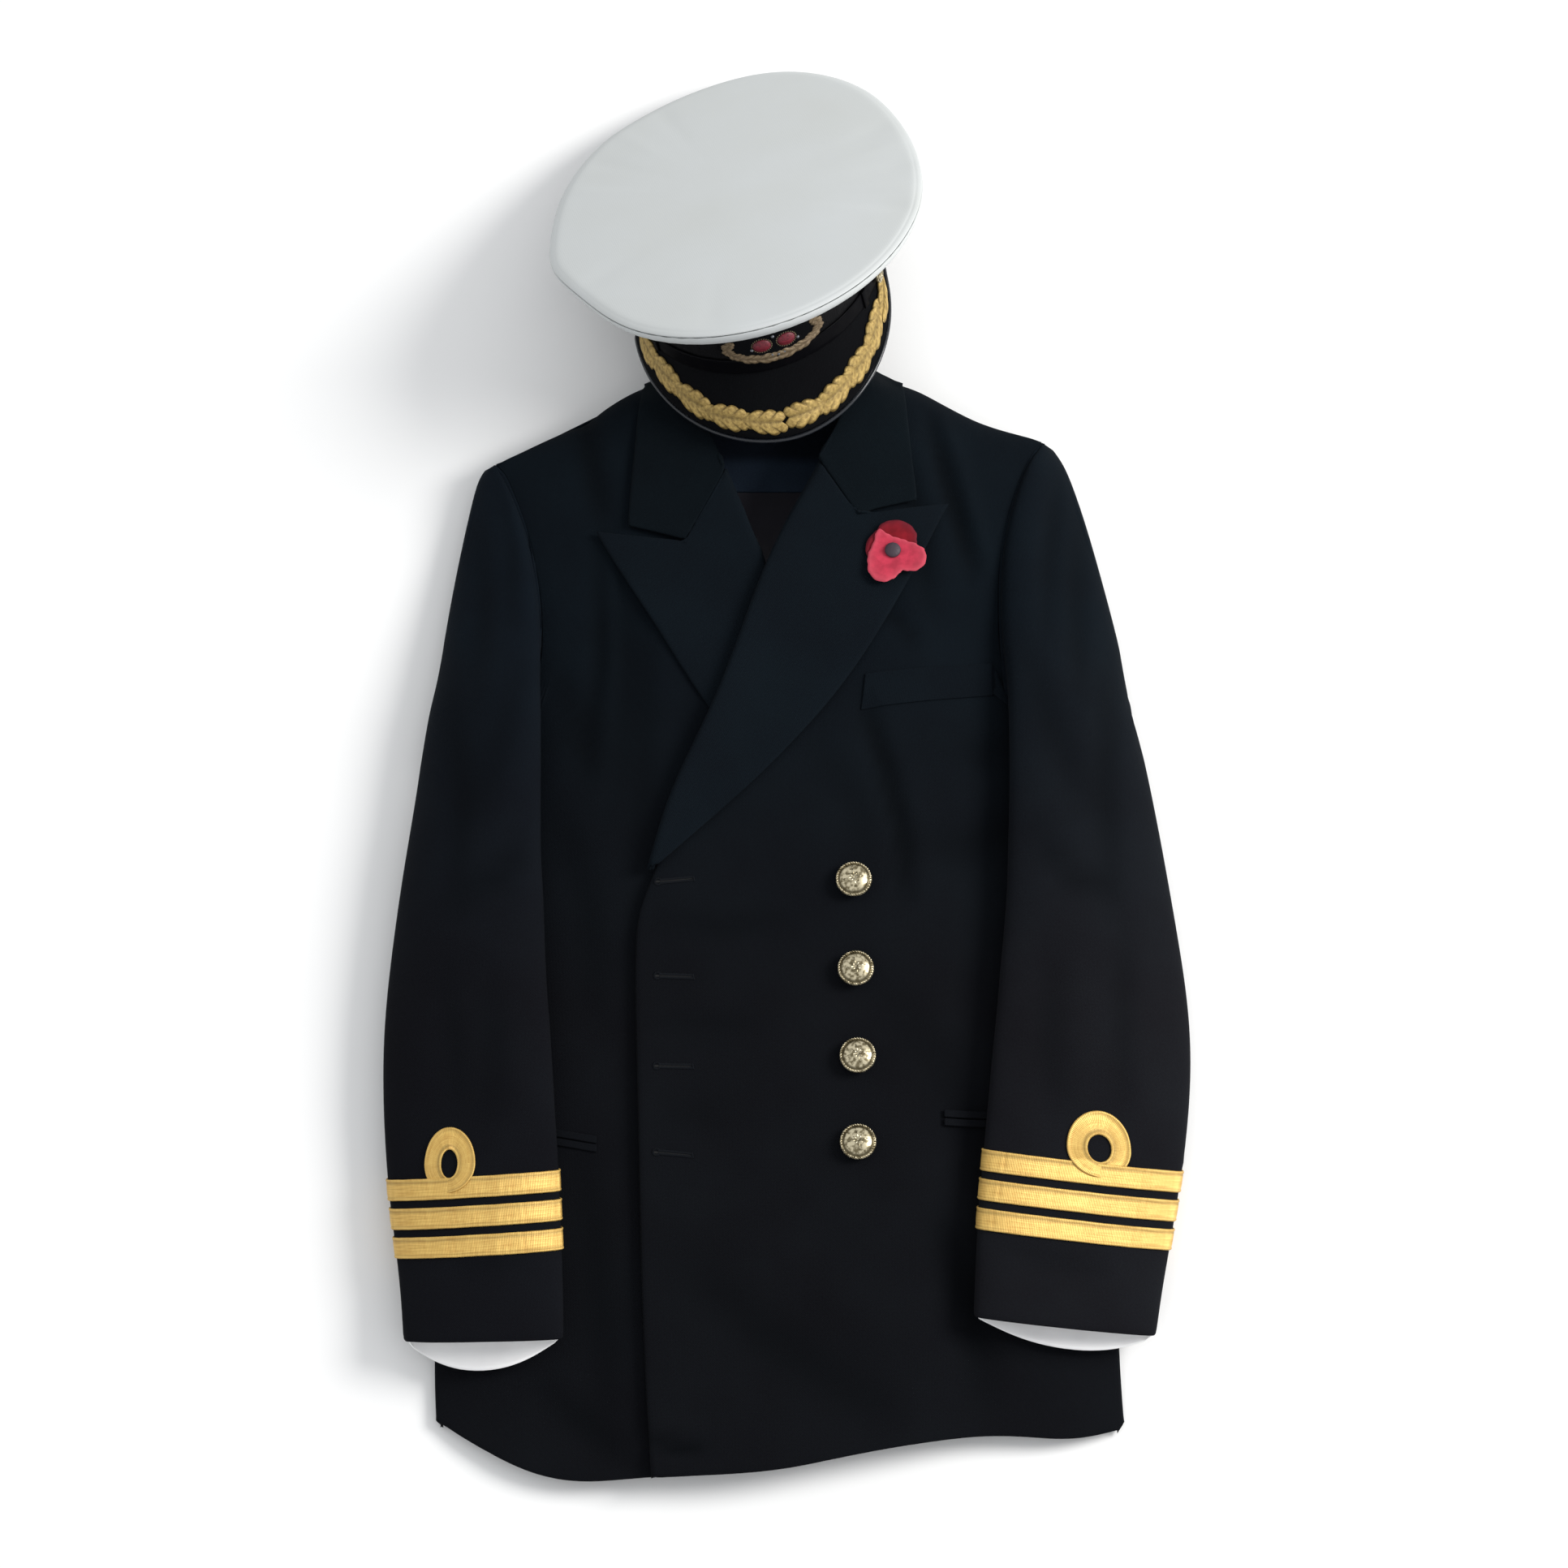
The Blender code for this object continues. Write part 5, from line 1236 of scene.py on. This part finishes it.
bm = right_side("cap_band")
band_lines = [read_closed(line, 144, line[0])[0] for line in rim_lines(bm)]
bm.free()
cover_low, cover_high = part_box("cap_cover_top")
cover_middle = (cover_low + cover_high) / 2
band_lines.sort(key=lambda line: (turned_line(line)[0] - cover_middle).length)
band_top, band_foot = (turned_line(line)[0] for line in band_lines)
up = (band_top - band_foot).normalized()
ends = [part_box(f"strap_button_{side}") for side in ("right", "left")]
across = sum(ends[1], Vector()) - sum(ends[0], Vector())
across = (across - up * across.dot(up)).normalized()
cap_pose = Matrix((across, up.cross(across), up)).transposed().to_4x4()
cap_pose.translation = band_foot
cap_inverse = cap_pose.inverted()


def cotton_finish(name, colour):
    """Plain white cotton drill: a fine twill and a faint random mottle."""
    material, tree, shader = finish_material(
        name, colour, 0.7, Specular_IOR_Level=0.25, Sheen_Weight=0.03, Sheen_Roughness=0.5
    )
    dark, light = toned(colour, 0.965, 0.96, 0.945), toned(colour, 1.02, 1.02, 1.03)
    tone = two_tone(tree, speckle(tree, 9.0, 5.0), dark, light, 0.3, 0.7)
    tree.links.new(tone, shader.inputs["Base Color"])
    twilled = {
        "Vector": add(tree, "TexCoord").outputs["Object"],
        "Scale": math.tau / (20 * DRILL),
        "Distortion": 0.5,
    }
    twill = add(tree, "TexWave", twilled, bands_direction="DIAGONAL").outputs["Fac"]
    height = add(tree, "Math", {0: twill, 1: speckle(tree, 1500.0)}, operation="ADD")
    emboss(tree, shader, height.outputs[0], 0.12, 0.0001)
    return material


white_cotton = cotton_finish("white_cotton", WHITE)

bm = softened(right_side("cap_cover_top"), 2)
hoop = max(rim_lines(bm), key=len)
top_tree = BVHTree.FromBMesh(bm)
bm.free()
hoop = read_closed(hoop, 216, hoop[0])[0]
middle = turned_line(hoop)[0]
bm = bmesh.new()
rows = []
for part in TOP_ROWS:
    row = []
    for at in hoop:
        place = middle.lerp(at, part)
        away = (1 - part) * (at - middle).length
        hit = top_tree.ray_cast(place + up * 0.05, -up)[0] if part < 1 else None
        place = hit or top_tree.find_nearest(place)[0]
        facing = (at - middle).normalized()
        shown = 0.12 + 0.88 * max(facing.dot(SEAM_SIDE), 0) ** 2
        sunk = shown * SEAM_SUNK * bell(away / SEAM_WIDE)
        sunk += EDGE_DROP * max(1 - away / EDGE_ROUND, 0) ** 2.2
        sunk += shown * SEAM_SUNK * bell((away - STITCH_IN) / STITCH_WIDE)
        angle = math.degrees(math.atan2(facing.y, facing.x))
        for pull in PULLS:
            aside = ((angle - pull.turn + 180) % 360 - 180) / pull.wide
            sunk += pull.deep / 1000 * bell(aside) * math.sin(math.pi * part**5)
        row.append(bm.verts.new(place - up * sunk))
    rows.append(row)
close_rows(bm, rows)
bm.faces.new(rows[-1])
bmesh.ops.recalc_face_normals(bm, faces=bm.faces)
cover_top = wear(
    "cap_cover_top_cotton", "cap_cover_top", faced(bm, up), white_cotton, COVER_WALL, 0
)

bm = softened(right_side("cap_cover_side"), 2)
for vert in bm.verts:
    below = min((vert.co - at).length for at in hoop[::3])
    reach = clamp(1 - below / (2.2 * EDGE_ROUND))
    vert.co -= up * EDGE_DROP * reach * reach * (3 - 2 * reach)
cover_side = wear(
    "cap_cover_side_cotton", "cap_cover_side", bm, white_cotton, COVER_WALL, 0
)


# ---- Cap band -----------------------------------------------------------------------------------
# A band of black mohair braid round the cap, corded along both edges and ribbed upright, and the
# brown leather sweatband inside it, stitched along its top.
BAND_SECTION = [
    Across(0.0, -0.2), Across(0.02, 0.15), Across(0.05, 0.15), Across(0.075, -0.1),
    Across(0.3, 0.1), Across(0.5, 0.15), Across(0.7, 0.1), Across(0.925, -0.1),
    Across(0.95, 0.15), Across(0.98, 0.15), Across(1.0, -0.2),
]
SWEAT_SECTION = [
    Across(0.0, 0.0), Across(0.03, 0.1), Across(0.3, 0.0), Across(0.7, 0.0), Across(0.88, 0.05),
    Across(0.91, -0.15), Across(0.94, 0.05), Across(1.0, 0.0),
]
BAND_RIB = 0.0021
BAND_RIB_DEEP = 0.00016
BAND_WALL = 0.0020
SWEAT_WALL = 0.0010

mohair, tree, shader = finish_material(
    "black_mohair", (0.0028, 0.0028, 0.0034), 0.75, Specular_IOR_Level=0.1, Sheen_Weight=0.004
)
flecks = speckle(tree, 900.0, 3.0)
tone = two_tone(tree, flecks, (0.0018, 0.0018, 0.0023), (0.0052, 0.0052, 0.0062), 0.35, 0.7)
tree.links.new(tone, shader.inputs["Base Color"])
emboss(tree, shader, flecks, 0.5, 0.0003)


def upright_band(foot_line, top_line, section, deep=0.0):
    """A closed band between two lines, with a section given across it and upright ribs."""
    bm = bmesh.new()
    middle = turned_line(foot_line)[0]
    rows = []
    for across in section:
        row, along = [], 0.0
        for step in range(len(foot_line)):
            at = foot_line[step].lerp(top_line[step], across.part)
            out = at - middle
            out = (out - up * out.dot(up)).normalized()
            if step:
                along += (foot_line[step] - foot_line[step - 1]).length
            ribbed = deep * math.cos(math.tau * along / BAND_RIB) * math.sin(math.pi * across.part)
            row.append(bm.verts.new(at + out * (across.lift / 1000 + ribbed)))
        rows.append(row)
    close_rows(bm, rows)
    bmesh.ops.recalc_face_normals(bm, faces=bm.faces)
    outward = sum(face.normal.dot(face.calc_center_median() - middle) for face in bm.faces)
    if outward < 0:
        bmesh.ops.reverse_faces(bm, faces=bm.faces[:])
    return bm


def cap_ring_lines(node, count):
    """The lower and upper rim of a ring of the cap, read round it from the same side."""
    bm = right_side(node)
    lines = rim_lines(bm)
    bm.free()
    lines.sort(key=lambda line: turned_line(line)[0].dot(up))
    start = max(lines[0], key=lambda at: at.dot(across))
    return [read_closed(line, count, start)[0] for line in lines]


across = cap_pose.to_3x3() @ Vector((1, 0, 0))
bm = upright_band(*cap_ring_lines("cap_band", 720), BAND_SECTION, BAND_RIB_DEEP)
wear("cap_band_mohair", "cap_band", bm, mohair, BAND_WALL, 0)

leather, tree, shader = finish_material(
    "brown_leather", (0.19, 0.095, 0.045), 0.5, Specular_IOR_Level=0.4
)
worn = speckle(tree, 45.0, 4.0)
tone = two_tone(tree, worn, (0.13, 0.060, 0.028), (0.24, 0.125, 0.060), 0.35, 0.7)
tree.links.new(tone, shader.inputs["Base Color"])
place = add(tree, "TexCoord").outputs["Object"]
grain = add(tree, "TexVoronoi", {"Vector": place, "Scale": 900.0})
emboss(tree, shader, grain.outputs["Distance"], 0.3, 0.0002)
bm = upright_band(*cap_ring_lines("cap_sweatband", 180), SWEAT_SECTION)
wear("cap_sweatband_leather", "cap_sweatband", bm, leather, SWEAT_WALL, 0)


# ---- Cap peak -----------------------------------------------------------------------------------
# A stiff peak covered in black cloth, whose inner edge turns up and is sewn inside the band. Its
# rim is bound with glossy patent leather.
HEAD_HALF = (82.0, 99.0)
PEAK_WALL = 0.0019
SEWN_IN = 0.974
SEWN_UP = 0.004

peak_cloth = barathea_finish("peak_cloth", (0.0030, 0.0032, 0.0041))
bm = softened(laid_flat(right_side("cap_peak")), 2)
peak_tree = BVHTree.FromBMesh(bm)
sewn = []
for edge in bm.edges:
    places = [cap_inverse @ vert.co * 1000 for vert in edge.verts]
    rounds = [math.hypot(at.x / HEAD_HALF[0], at.y / HEAD_HALF[1]) for at in places]
    if edge.is_boundary and max(rounds) < 1.025 and min(at.z for at in places) > -1.8:
        sewn.append(edge)
turned = bmesh.ops.extrude_edge_only(bm, edges=sewn)["geom"]
for vert in (item for item in turned if isinstance(item, bmesh.types.BMVert)):
    at = cap_inverse @ vert.co
    vert.co = cap_pose @ Vector((at.x * SEWN_IN, at.y * SEWN_IN, at.z + SEWN_UP))
wear("cap_peak_cloth", "cap_peak", bm, peak_cloth, PEAK_WALL, 0)


def patent_finish(name, colour, gloss, smooth=0.14):
    """Patent leather: a black hide under a hard gloss that has crazed and scuffed a little."""
    material, tree, shader = finish_material(
        name, colour, 0.22, Coat_Weight=gloss, Coat_Roughness=0.12, Specular_IOR_Level=gloss / 2
    )
    scuffs = {0: speckle(tree, 130.0, 5.0), 1: 0.3, 2: 0.7, 3: smooth, 4: smooth + 0.28}
    tree.links.new(add(tree, "MapRange", scuffs).outputs[0], shader.inputs["Roughness"])
    emboss(tree, shader, speckle(tree, 260.0), 0.25, 0.0002)
    return material


patent = patent_finish("patent_binding", (0.010, 0.012, 0.016), 0.5)
bm = softened(in_quads(packed("peak_binding")), 2)
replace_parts(new_piece("cap_peak_binding", bm, patent), "peak_binding")


# ---- Oak leaves ---------------------------------------------------------------------------------
# Two sprays of oak leaves in padded gold embroidery that meet at the front of the peak: each leaf
# is worked in slanting threads to both sides of a sunk vein, and the next one lies over its stalk.
CAP_FRONT = 275.6
PEAK_SPREAD = 84.0
PEAK_DEEP = 44.0
PEAK_NARROW = 1.2
PEAK_ROUND = 1.7
PEAK_SKEW = 7.5
PEAK_LEAST = 2.0
PEAK_LEAN = 0.71
PEAK_DROP = 58.8
OLD_GOLD = (0.40, 0.28, 0.088)
Leaf = namedtuple("Leaf", "tip stalk inset half lean")
LEAVES = {
    "left": [
        Leaf(-0.022, 0.185, 11.4, 8.9, 0.9), Leaf(0.150, 0.355, 11.2, 8.9, -0.8),
        Leaf(0.315, 0.520, 11.0, 8.8, 0.7), Leaf(0.480, 0.690, 11.6, 8.4, -0.5),
        Leaf(0.640, 0.860, 7.4, 5.2, 0.0),
    ],
    "right": [
        Leaf(-0.036, -0.250, 11.2, 8.8, -0.9), Leaf(-0.215, -0.430, 11.4, 9.0, 0.8),
        Leaf(-0.395, -0.610, 12.6, 9.4, -0.7), Leaf(-0.575, -0.790, 14.2, 9.2, 0.5),
        Leaf(-0.755, -0.960, 13.2, 8.6, 0.0),
    ],
}
LEAF_LOBES = 3.6
LEAF_RISE = 1.7
LEAF_WALL = 0.0006
BULLION = 0.00062


def embroidery_finish(name, gold):
    """Bullion and silk thread laid slantwise: dull gold with bright crests, and painted shade in
    the gaps, along the vein and at the edges that the hollow attribute marks.
    """
    material, tree, shader = finish_material(name, gold, 0.48, 0.35, Specular_IOR_Level=0.5)
    dark, light = toned(gold, 0.62, 0.56, 0.46), toned(gold, 1.45)
    tone = two_tone(tree, speckle(tree, 420.0, 3.0, flat=True), dark, light, 0.32, 0.66)
    hollow = add(tree, "Attribute", attribute_name="hollow").outputs["Fac"]
    sunk = blend(tree, hollow, tone, (0.055, 0.036, 0.012, 1))
    tree.links.new(sunk, shader.inputs["Base Color"])
    worked = {
        "Vector": add(tree, "UVMap").outputs["UV"],
        "Scale": math.tau / (20 * BULLION),
        "Distortion": 0.8,
    }
    emboss(tree, shader, add(tree, "TexWave", worked).outputs["Fac"], 0.5, 0.0003)
    return material


def oak_leaf(bm, at, long, half, rise, lobes=LEAF_LOBES, steps=44, sides=6):
    """One leaf. at(along, aside, up) gives the place of a point of it, in millimetres."""
    layer = bm.loops.layers.uv.verify()
    sunk = bm.verts.layers.float.get("hollow") or bm.verts.layers.float.new("hollow")
    grid = []
    for step in range(steps + 1):
        along = step / steps
        body = max(math.sin(math.pi * (0.035 + 0.93 * along ** 0.86)), 0) ** 0.45
        scallop = abs(math.sin(math.pi * lobes * along + 0.25)) ** 0.6
        wide = half * body * (0.76 + 0.24 * scallop)
        row = []
        for side in range(-sides, sides + 1):
            part = side / sides
            crest = (1 - abs(part) ** 3.0) ** 0.6
            vein = bell(part / 0.20) * (0.35 + 0.65 * (1 - along))
            between = (1 - scallop) ** 1.5 * min(abs(part) * 1.6, 1)
            high = rise * body * (0.18 + 0.82 * crest) * (1 - 0.62 * vein) * (1 - 0.4 * between)
            slip = 0.28 * long * (abs(part) - 0.5)
            vert = bm.verts.new(at(along * long - slip * body, part * wide, high))
            # Painted shade: the vein, the hollows between lobes and the outer edge are marked to
            # darken.
            vert[sunk] = max(0.62 * vein, 0.7 * between, 0.45 * abs(part) ** 10)
            row.append((vert, (along * long - abs(part) * wide * 1.1, part * wide)))
        grid.append(row)
    for before, after in zip(grid, grid[1:]):
        for a, b in zip(range(2 * sides), range(1, 2 * sides + 1)):
            corners = (before[a], before[b], after[b], after[a])
            face = bm.faces.new([vert for vert, _ in corners])
            for loop, (_, uv) in zip(face.loops, corners):
                loop[layer].uv = (uv[0] / 1000, uv[1] / 1000)


def peak_place(spread, inset):
    """A place on the peak: spread from -1 to 1 round its front, and inset from its rim, in mm."""
    turn = math.radians(CAP_FRONT + PEAK_SPREAD * spread)
    wide = PEAK_NARROW + (PEAK_DEEP - PEAK_NARROW) * (1 - min(abs(spread), 1) ** PEAK_ROUND)
    wide = max(wide - PEAK_SKEW * spread * abs(spread), PEAK_LEAST)
    lean = Vector((PEAK_LEAN * math.cos(turn), math.sin(turn), 0)).normalized()
    drop = math.radians(PEAK_DROP)
    down = lean * math.cos(drop) - Vector((0, 0, math.sin(drop)))
    edge = Vector(((HEAD_HALF[0] + 0.9) * math.cos(turn), (HEAD_HALF[1] + 0.9) * math.sin(turn), 0))
    return cap_pose @ ((edge + down * (wide - inset)) / 1000)


gold_embroidery = embroidery_finish("gold_embroidery", OLD_GOLD)
for side, leaves in LEAVES.items():
    bm = bmesh.new()
    for number, leaf in enumerate(reversed(leaves)):
        spreads = [leaf.tip + (leaf.stalk - leaf.tip) * step / 12 for step in range(13)]
        line = [peak_place(spread, leaf.inset) for spread in spreads]
        long = sum((b - a).length for a, b in zip(line, line[1:])) * 1000
        stacked = 0.0003 + 0.00022 * (number % 2)

        def at(along, aside, high):
            """A place on the leaf, over the peak."""
            share = 1 - along / long
            spread = leaf.tip + (leaf.stalk - leaf.tip) * (1 - share)
            inset = leaf.inset + aside + leaf.lean * (2 * share - 1)
            return on_cloth([peak_tree], peak_place(spread, inset), stacked + high / 1000)

        oak_leaf(bm, at, long, leaf.half, LEAF_RISE)
    bmesh.ops.recalc_face_normals(bm, faces=bm.faces)
    name, node, slot = f"cap_peak_oak_leaves_{side}", f"peak_leaves_{side}", "gold_embroidery"
    wear(name, node, bm, gold_embroidery, LEAF_WALL, 0)


# ---- Chin strap ---------------------------------------------------------------------------------
# A narrow black patent strap over the front of the band, with a sliding keeper at each side, and a
# small gilt button that holds each end.
STRAP_LOW = 2.0
STRAP_WIDE = 12.0
STRAP_THICK = 1.3
STRAP_WALL = 0.0011
STRAP_BUTTON = (0.006, 0.0042)
KEEPERS = (214.0, 326.0)


def head_place(turn, out, high):
    """A place round the cap's band: its angle, and how far out and up it is, in mm."""
    angle = math.radians(turn)
    x = (HEAD_HALF[0] + out) * math.cos(angle)
    return cap_pose @ (Vector((x, (HEAD_HALF[1] + out) * math.sin(angle), high)) / 1000)


def head_stand(turn, out, high):
    """The pose of a piece that stands out from the band."""
    angle = math.radians(turn)
    face = Vector((math.cos(angle) / HEAD_HALF[0], math.sin(angle) / HEAD_HALF[1], 0))
    turned = cap_pose.to_3x3() @ face.to_track_quat("Z", "Y").to_matrix()
    return Matrix.Translation(head_place(turn, out, high)) @ turned.to_4x4()


patent_strap = patent_finish("patent_strap", (0.0022, 0.0022, 0.003), 0.04, 0.55)
bm = softened(right_side("chin_strap"), 2)
wear("cap_chin_strap", "chin_strap", bm, patent_strap, STRAP_WALL)

bm = bmesh.new()
for turn in KEEPERS:
    stand = head_stand(turn, STRAP_THICK + 0.9, STRAP_LOW + STRAP_WIDE / 2)
    before = set(bm.verts)
    size = Matrix.Diagonal((0.0052, STRAP_WIDE / 1000 + 0.0016, 0.0016, 1))
    made = bmesh.ops.create_cube(bm, size=1, matrix=size)["verts"]
    edges = list({edge for vert in made for edge in vert.link_edges})
    rounded = {"offset": 0.0006, "segments": 3, "profile": 0.5, "affect": "EDGES"}
    bmesh.ops.bevel(bm, geom=edges, material=-1, **rounded)
    bmesh.ops.transform(bm, matrix=stand, verts=[v for v in bm.verts if v not in before])
new_piece("cap_strap_keepers", bm, patent_strap)

for side, turn in (("left", 340), ("right", 200)):
    name, node = f"cap_strap_button_{side}", f"strap_button_{side}"
    roped_button(name, node, head_stand(turn, 2.4, 8.0), *STRAP_BUTTON)


# ---- Cap badge ----------------------------------------------------------------------------------
# A badge embroidered on a padded oval of black cloth: two red cushions in rings of gold rope, in
# an open wreath of gold leaves, with silver beads above and between them.
BADGE_OUT = 4.4
BADGE_TURN = 276.6
BADGE_MIDDLE = 26.0
CUSHION_APART = 5.4  # degrees round the band, to each side
CUSHION = (6.0, 4.9)
WREATH = (34.0, 14.2)
BADGE_WALL = 0.0022
BEADS = ((-15, 24), (15.5, 24), (-3, 17.2), (1, 16.4), (5, 17), (0, 31.5))
BEAD_RADIUS = 0.0012
SHADED_GOLD = (0.19, 0.140, 0.085)
ROPE_BEADS = 26

crimson, tree, shader = finish_material("crimson_silk", (0.13, 0.005, 0.014), 0.5)
silk = speckle(tree, 1100.0)
tone = two_tone(tree, silk, (0.075, 0.003, 0.009), (0.19, 0.009, 0.024))
tree.links.new(tone, shader.inputs["Base Color"])
emboss(tree, shader, silk, 0.5, 0.0002)


def badge_place(aside, high, out):
    """A place over the front of the band: aside, up and out, in mm."""
    turn = BADGE_TURN + math.degrees(aside / (HEAD_HALF[0] + 4))
    return head_place(turn, BADGE_OUT + out, high)


bm = softened(laid_flat(right_side("cap_badge")), 2)
wear("cap_badge_cloth", "cap_badge", bm, peak_cloth, BADGE_WALL, 0)

bm = bmesh.new()
for side in (-1, 1):
    for number in range(5):
        first = math.radians(-90 + 23 * number)
        last = first + math.radians(31)

        def at(along, aside, high):
            """A place on the leaf, over the badge."""
            part = along / 16.0
            angle = first + (last - first) * part
            x = (WREATH[0] - 3.2) * math.cos(angle) - aside * math.cos(angle)
            z = BADGE_MIDDLE + (WREATH[1] - 3.2) * math.sin(angle) - aside * math.sin(angle)
            return badge_place(side * x, z, 0.4 + 0.15 * (number % 2) + high)

        oak_leaf(bm, at, 16.0, 4.2, 1.3, lobes=2.6, steps=22, sides=4)
for side in (-1, 1):
    for step in range(ROPE_BEADS):
        angle = math.tau * step / ROPE_BEADS
        x, z = (CUSHION[0] + 0.5) * math.cos(angle), (CUSHION[1] + 0.5) * math.sin(angle)
        turn = BADGE_TURN + side * CUSHION_APART + math.degrees(x / (HEAD_HALF[0] + 4))
        stand = head_stand(turn, BADGE_OUT, BADGE_MIDDLE + z)
        spin = Matrix.Rotation(math.atan2(math.cos(angle), -math.sin(angle)) + 0.9, 4, "Z")
        size = Matrix.Diagonal((0.0009, 0.00045, 0.0007, 1))
        bmesh.ops.create_icosphere(bm, subdivisions=1, radius=1.0, matrix=stand @ spin @ size)
bmesh.ops.recalc_face_normals(bm, faces=bm.faces)
# Painted shade: the badge's gold is a darker copy of the peak's embroidery, for the shade under the
# cap's top.
shaded_embroidery = embroidery_finish("shaded_embroidery", SHADED_GOLD)
new_piece("cap_badge_wreath", bm, shaded_embroidery)

bm = bmesh.new()
for side in (-1, 1):
    stand = head_stand(BADGE_TURN + side * CUSHION_APART, BADGE_OUT, BADGE_MIDDLE)
    size = Matrix.Diagonal((CUSHION[0] / 1000, CUSHION[1] / 1000, 0.0022, 1))
    bmesh.ops.create_uvsphere(bm, u_segments=24, v_segments=12, radius=1.0, matrix=stand @ size)
new_piece("cap_badge_cushion", bm, crimson)

silver, tree, shader = finish_material("silver_beads", (0.17, 0.18, 0.20), 0.45, 0.7)
rough = add(tree, "MapRange", {0: speckle(tree, 600.0), 3: 0.25, 4: 0.55})
tree.links.new(rough.outputs[0], shader.inputs["Roughness"])
bm = bmesh.new()
for aside, high in BEADS:
    stand = Matrix.Translation(badge_place(aside, high, 0.4))
    bmesh.ops.create_icosphere(bm, subdivisions=2, radius=BEAD_RADIUS, matrix=stand)
new_piece("cap_badge_beads", bm, silver)
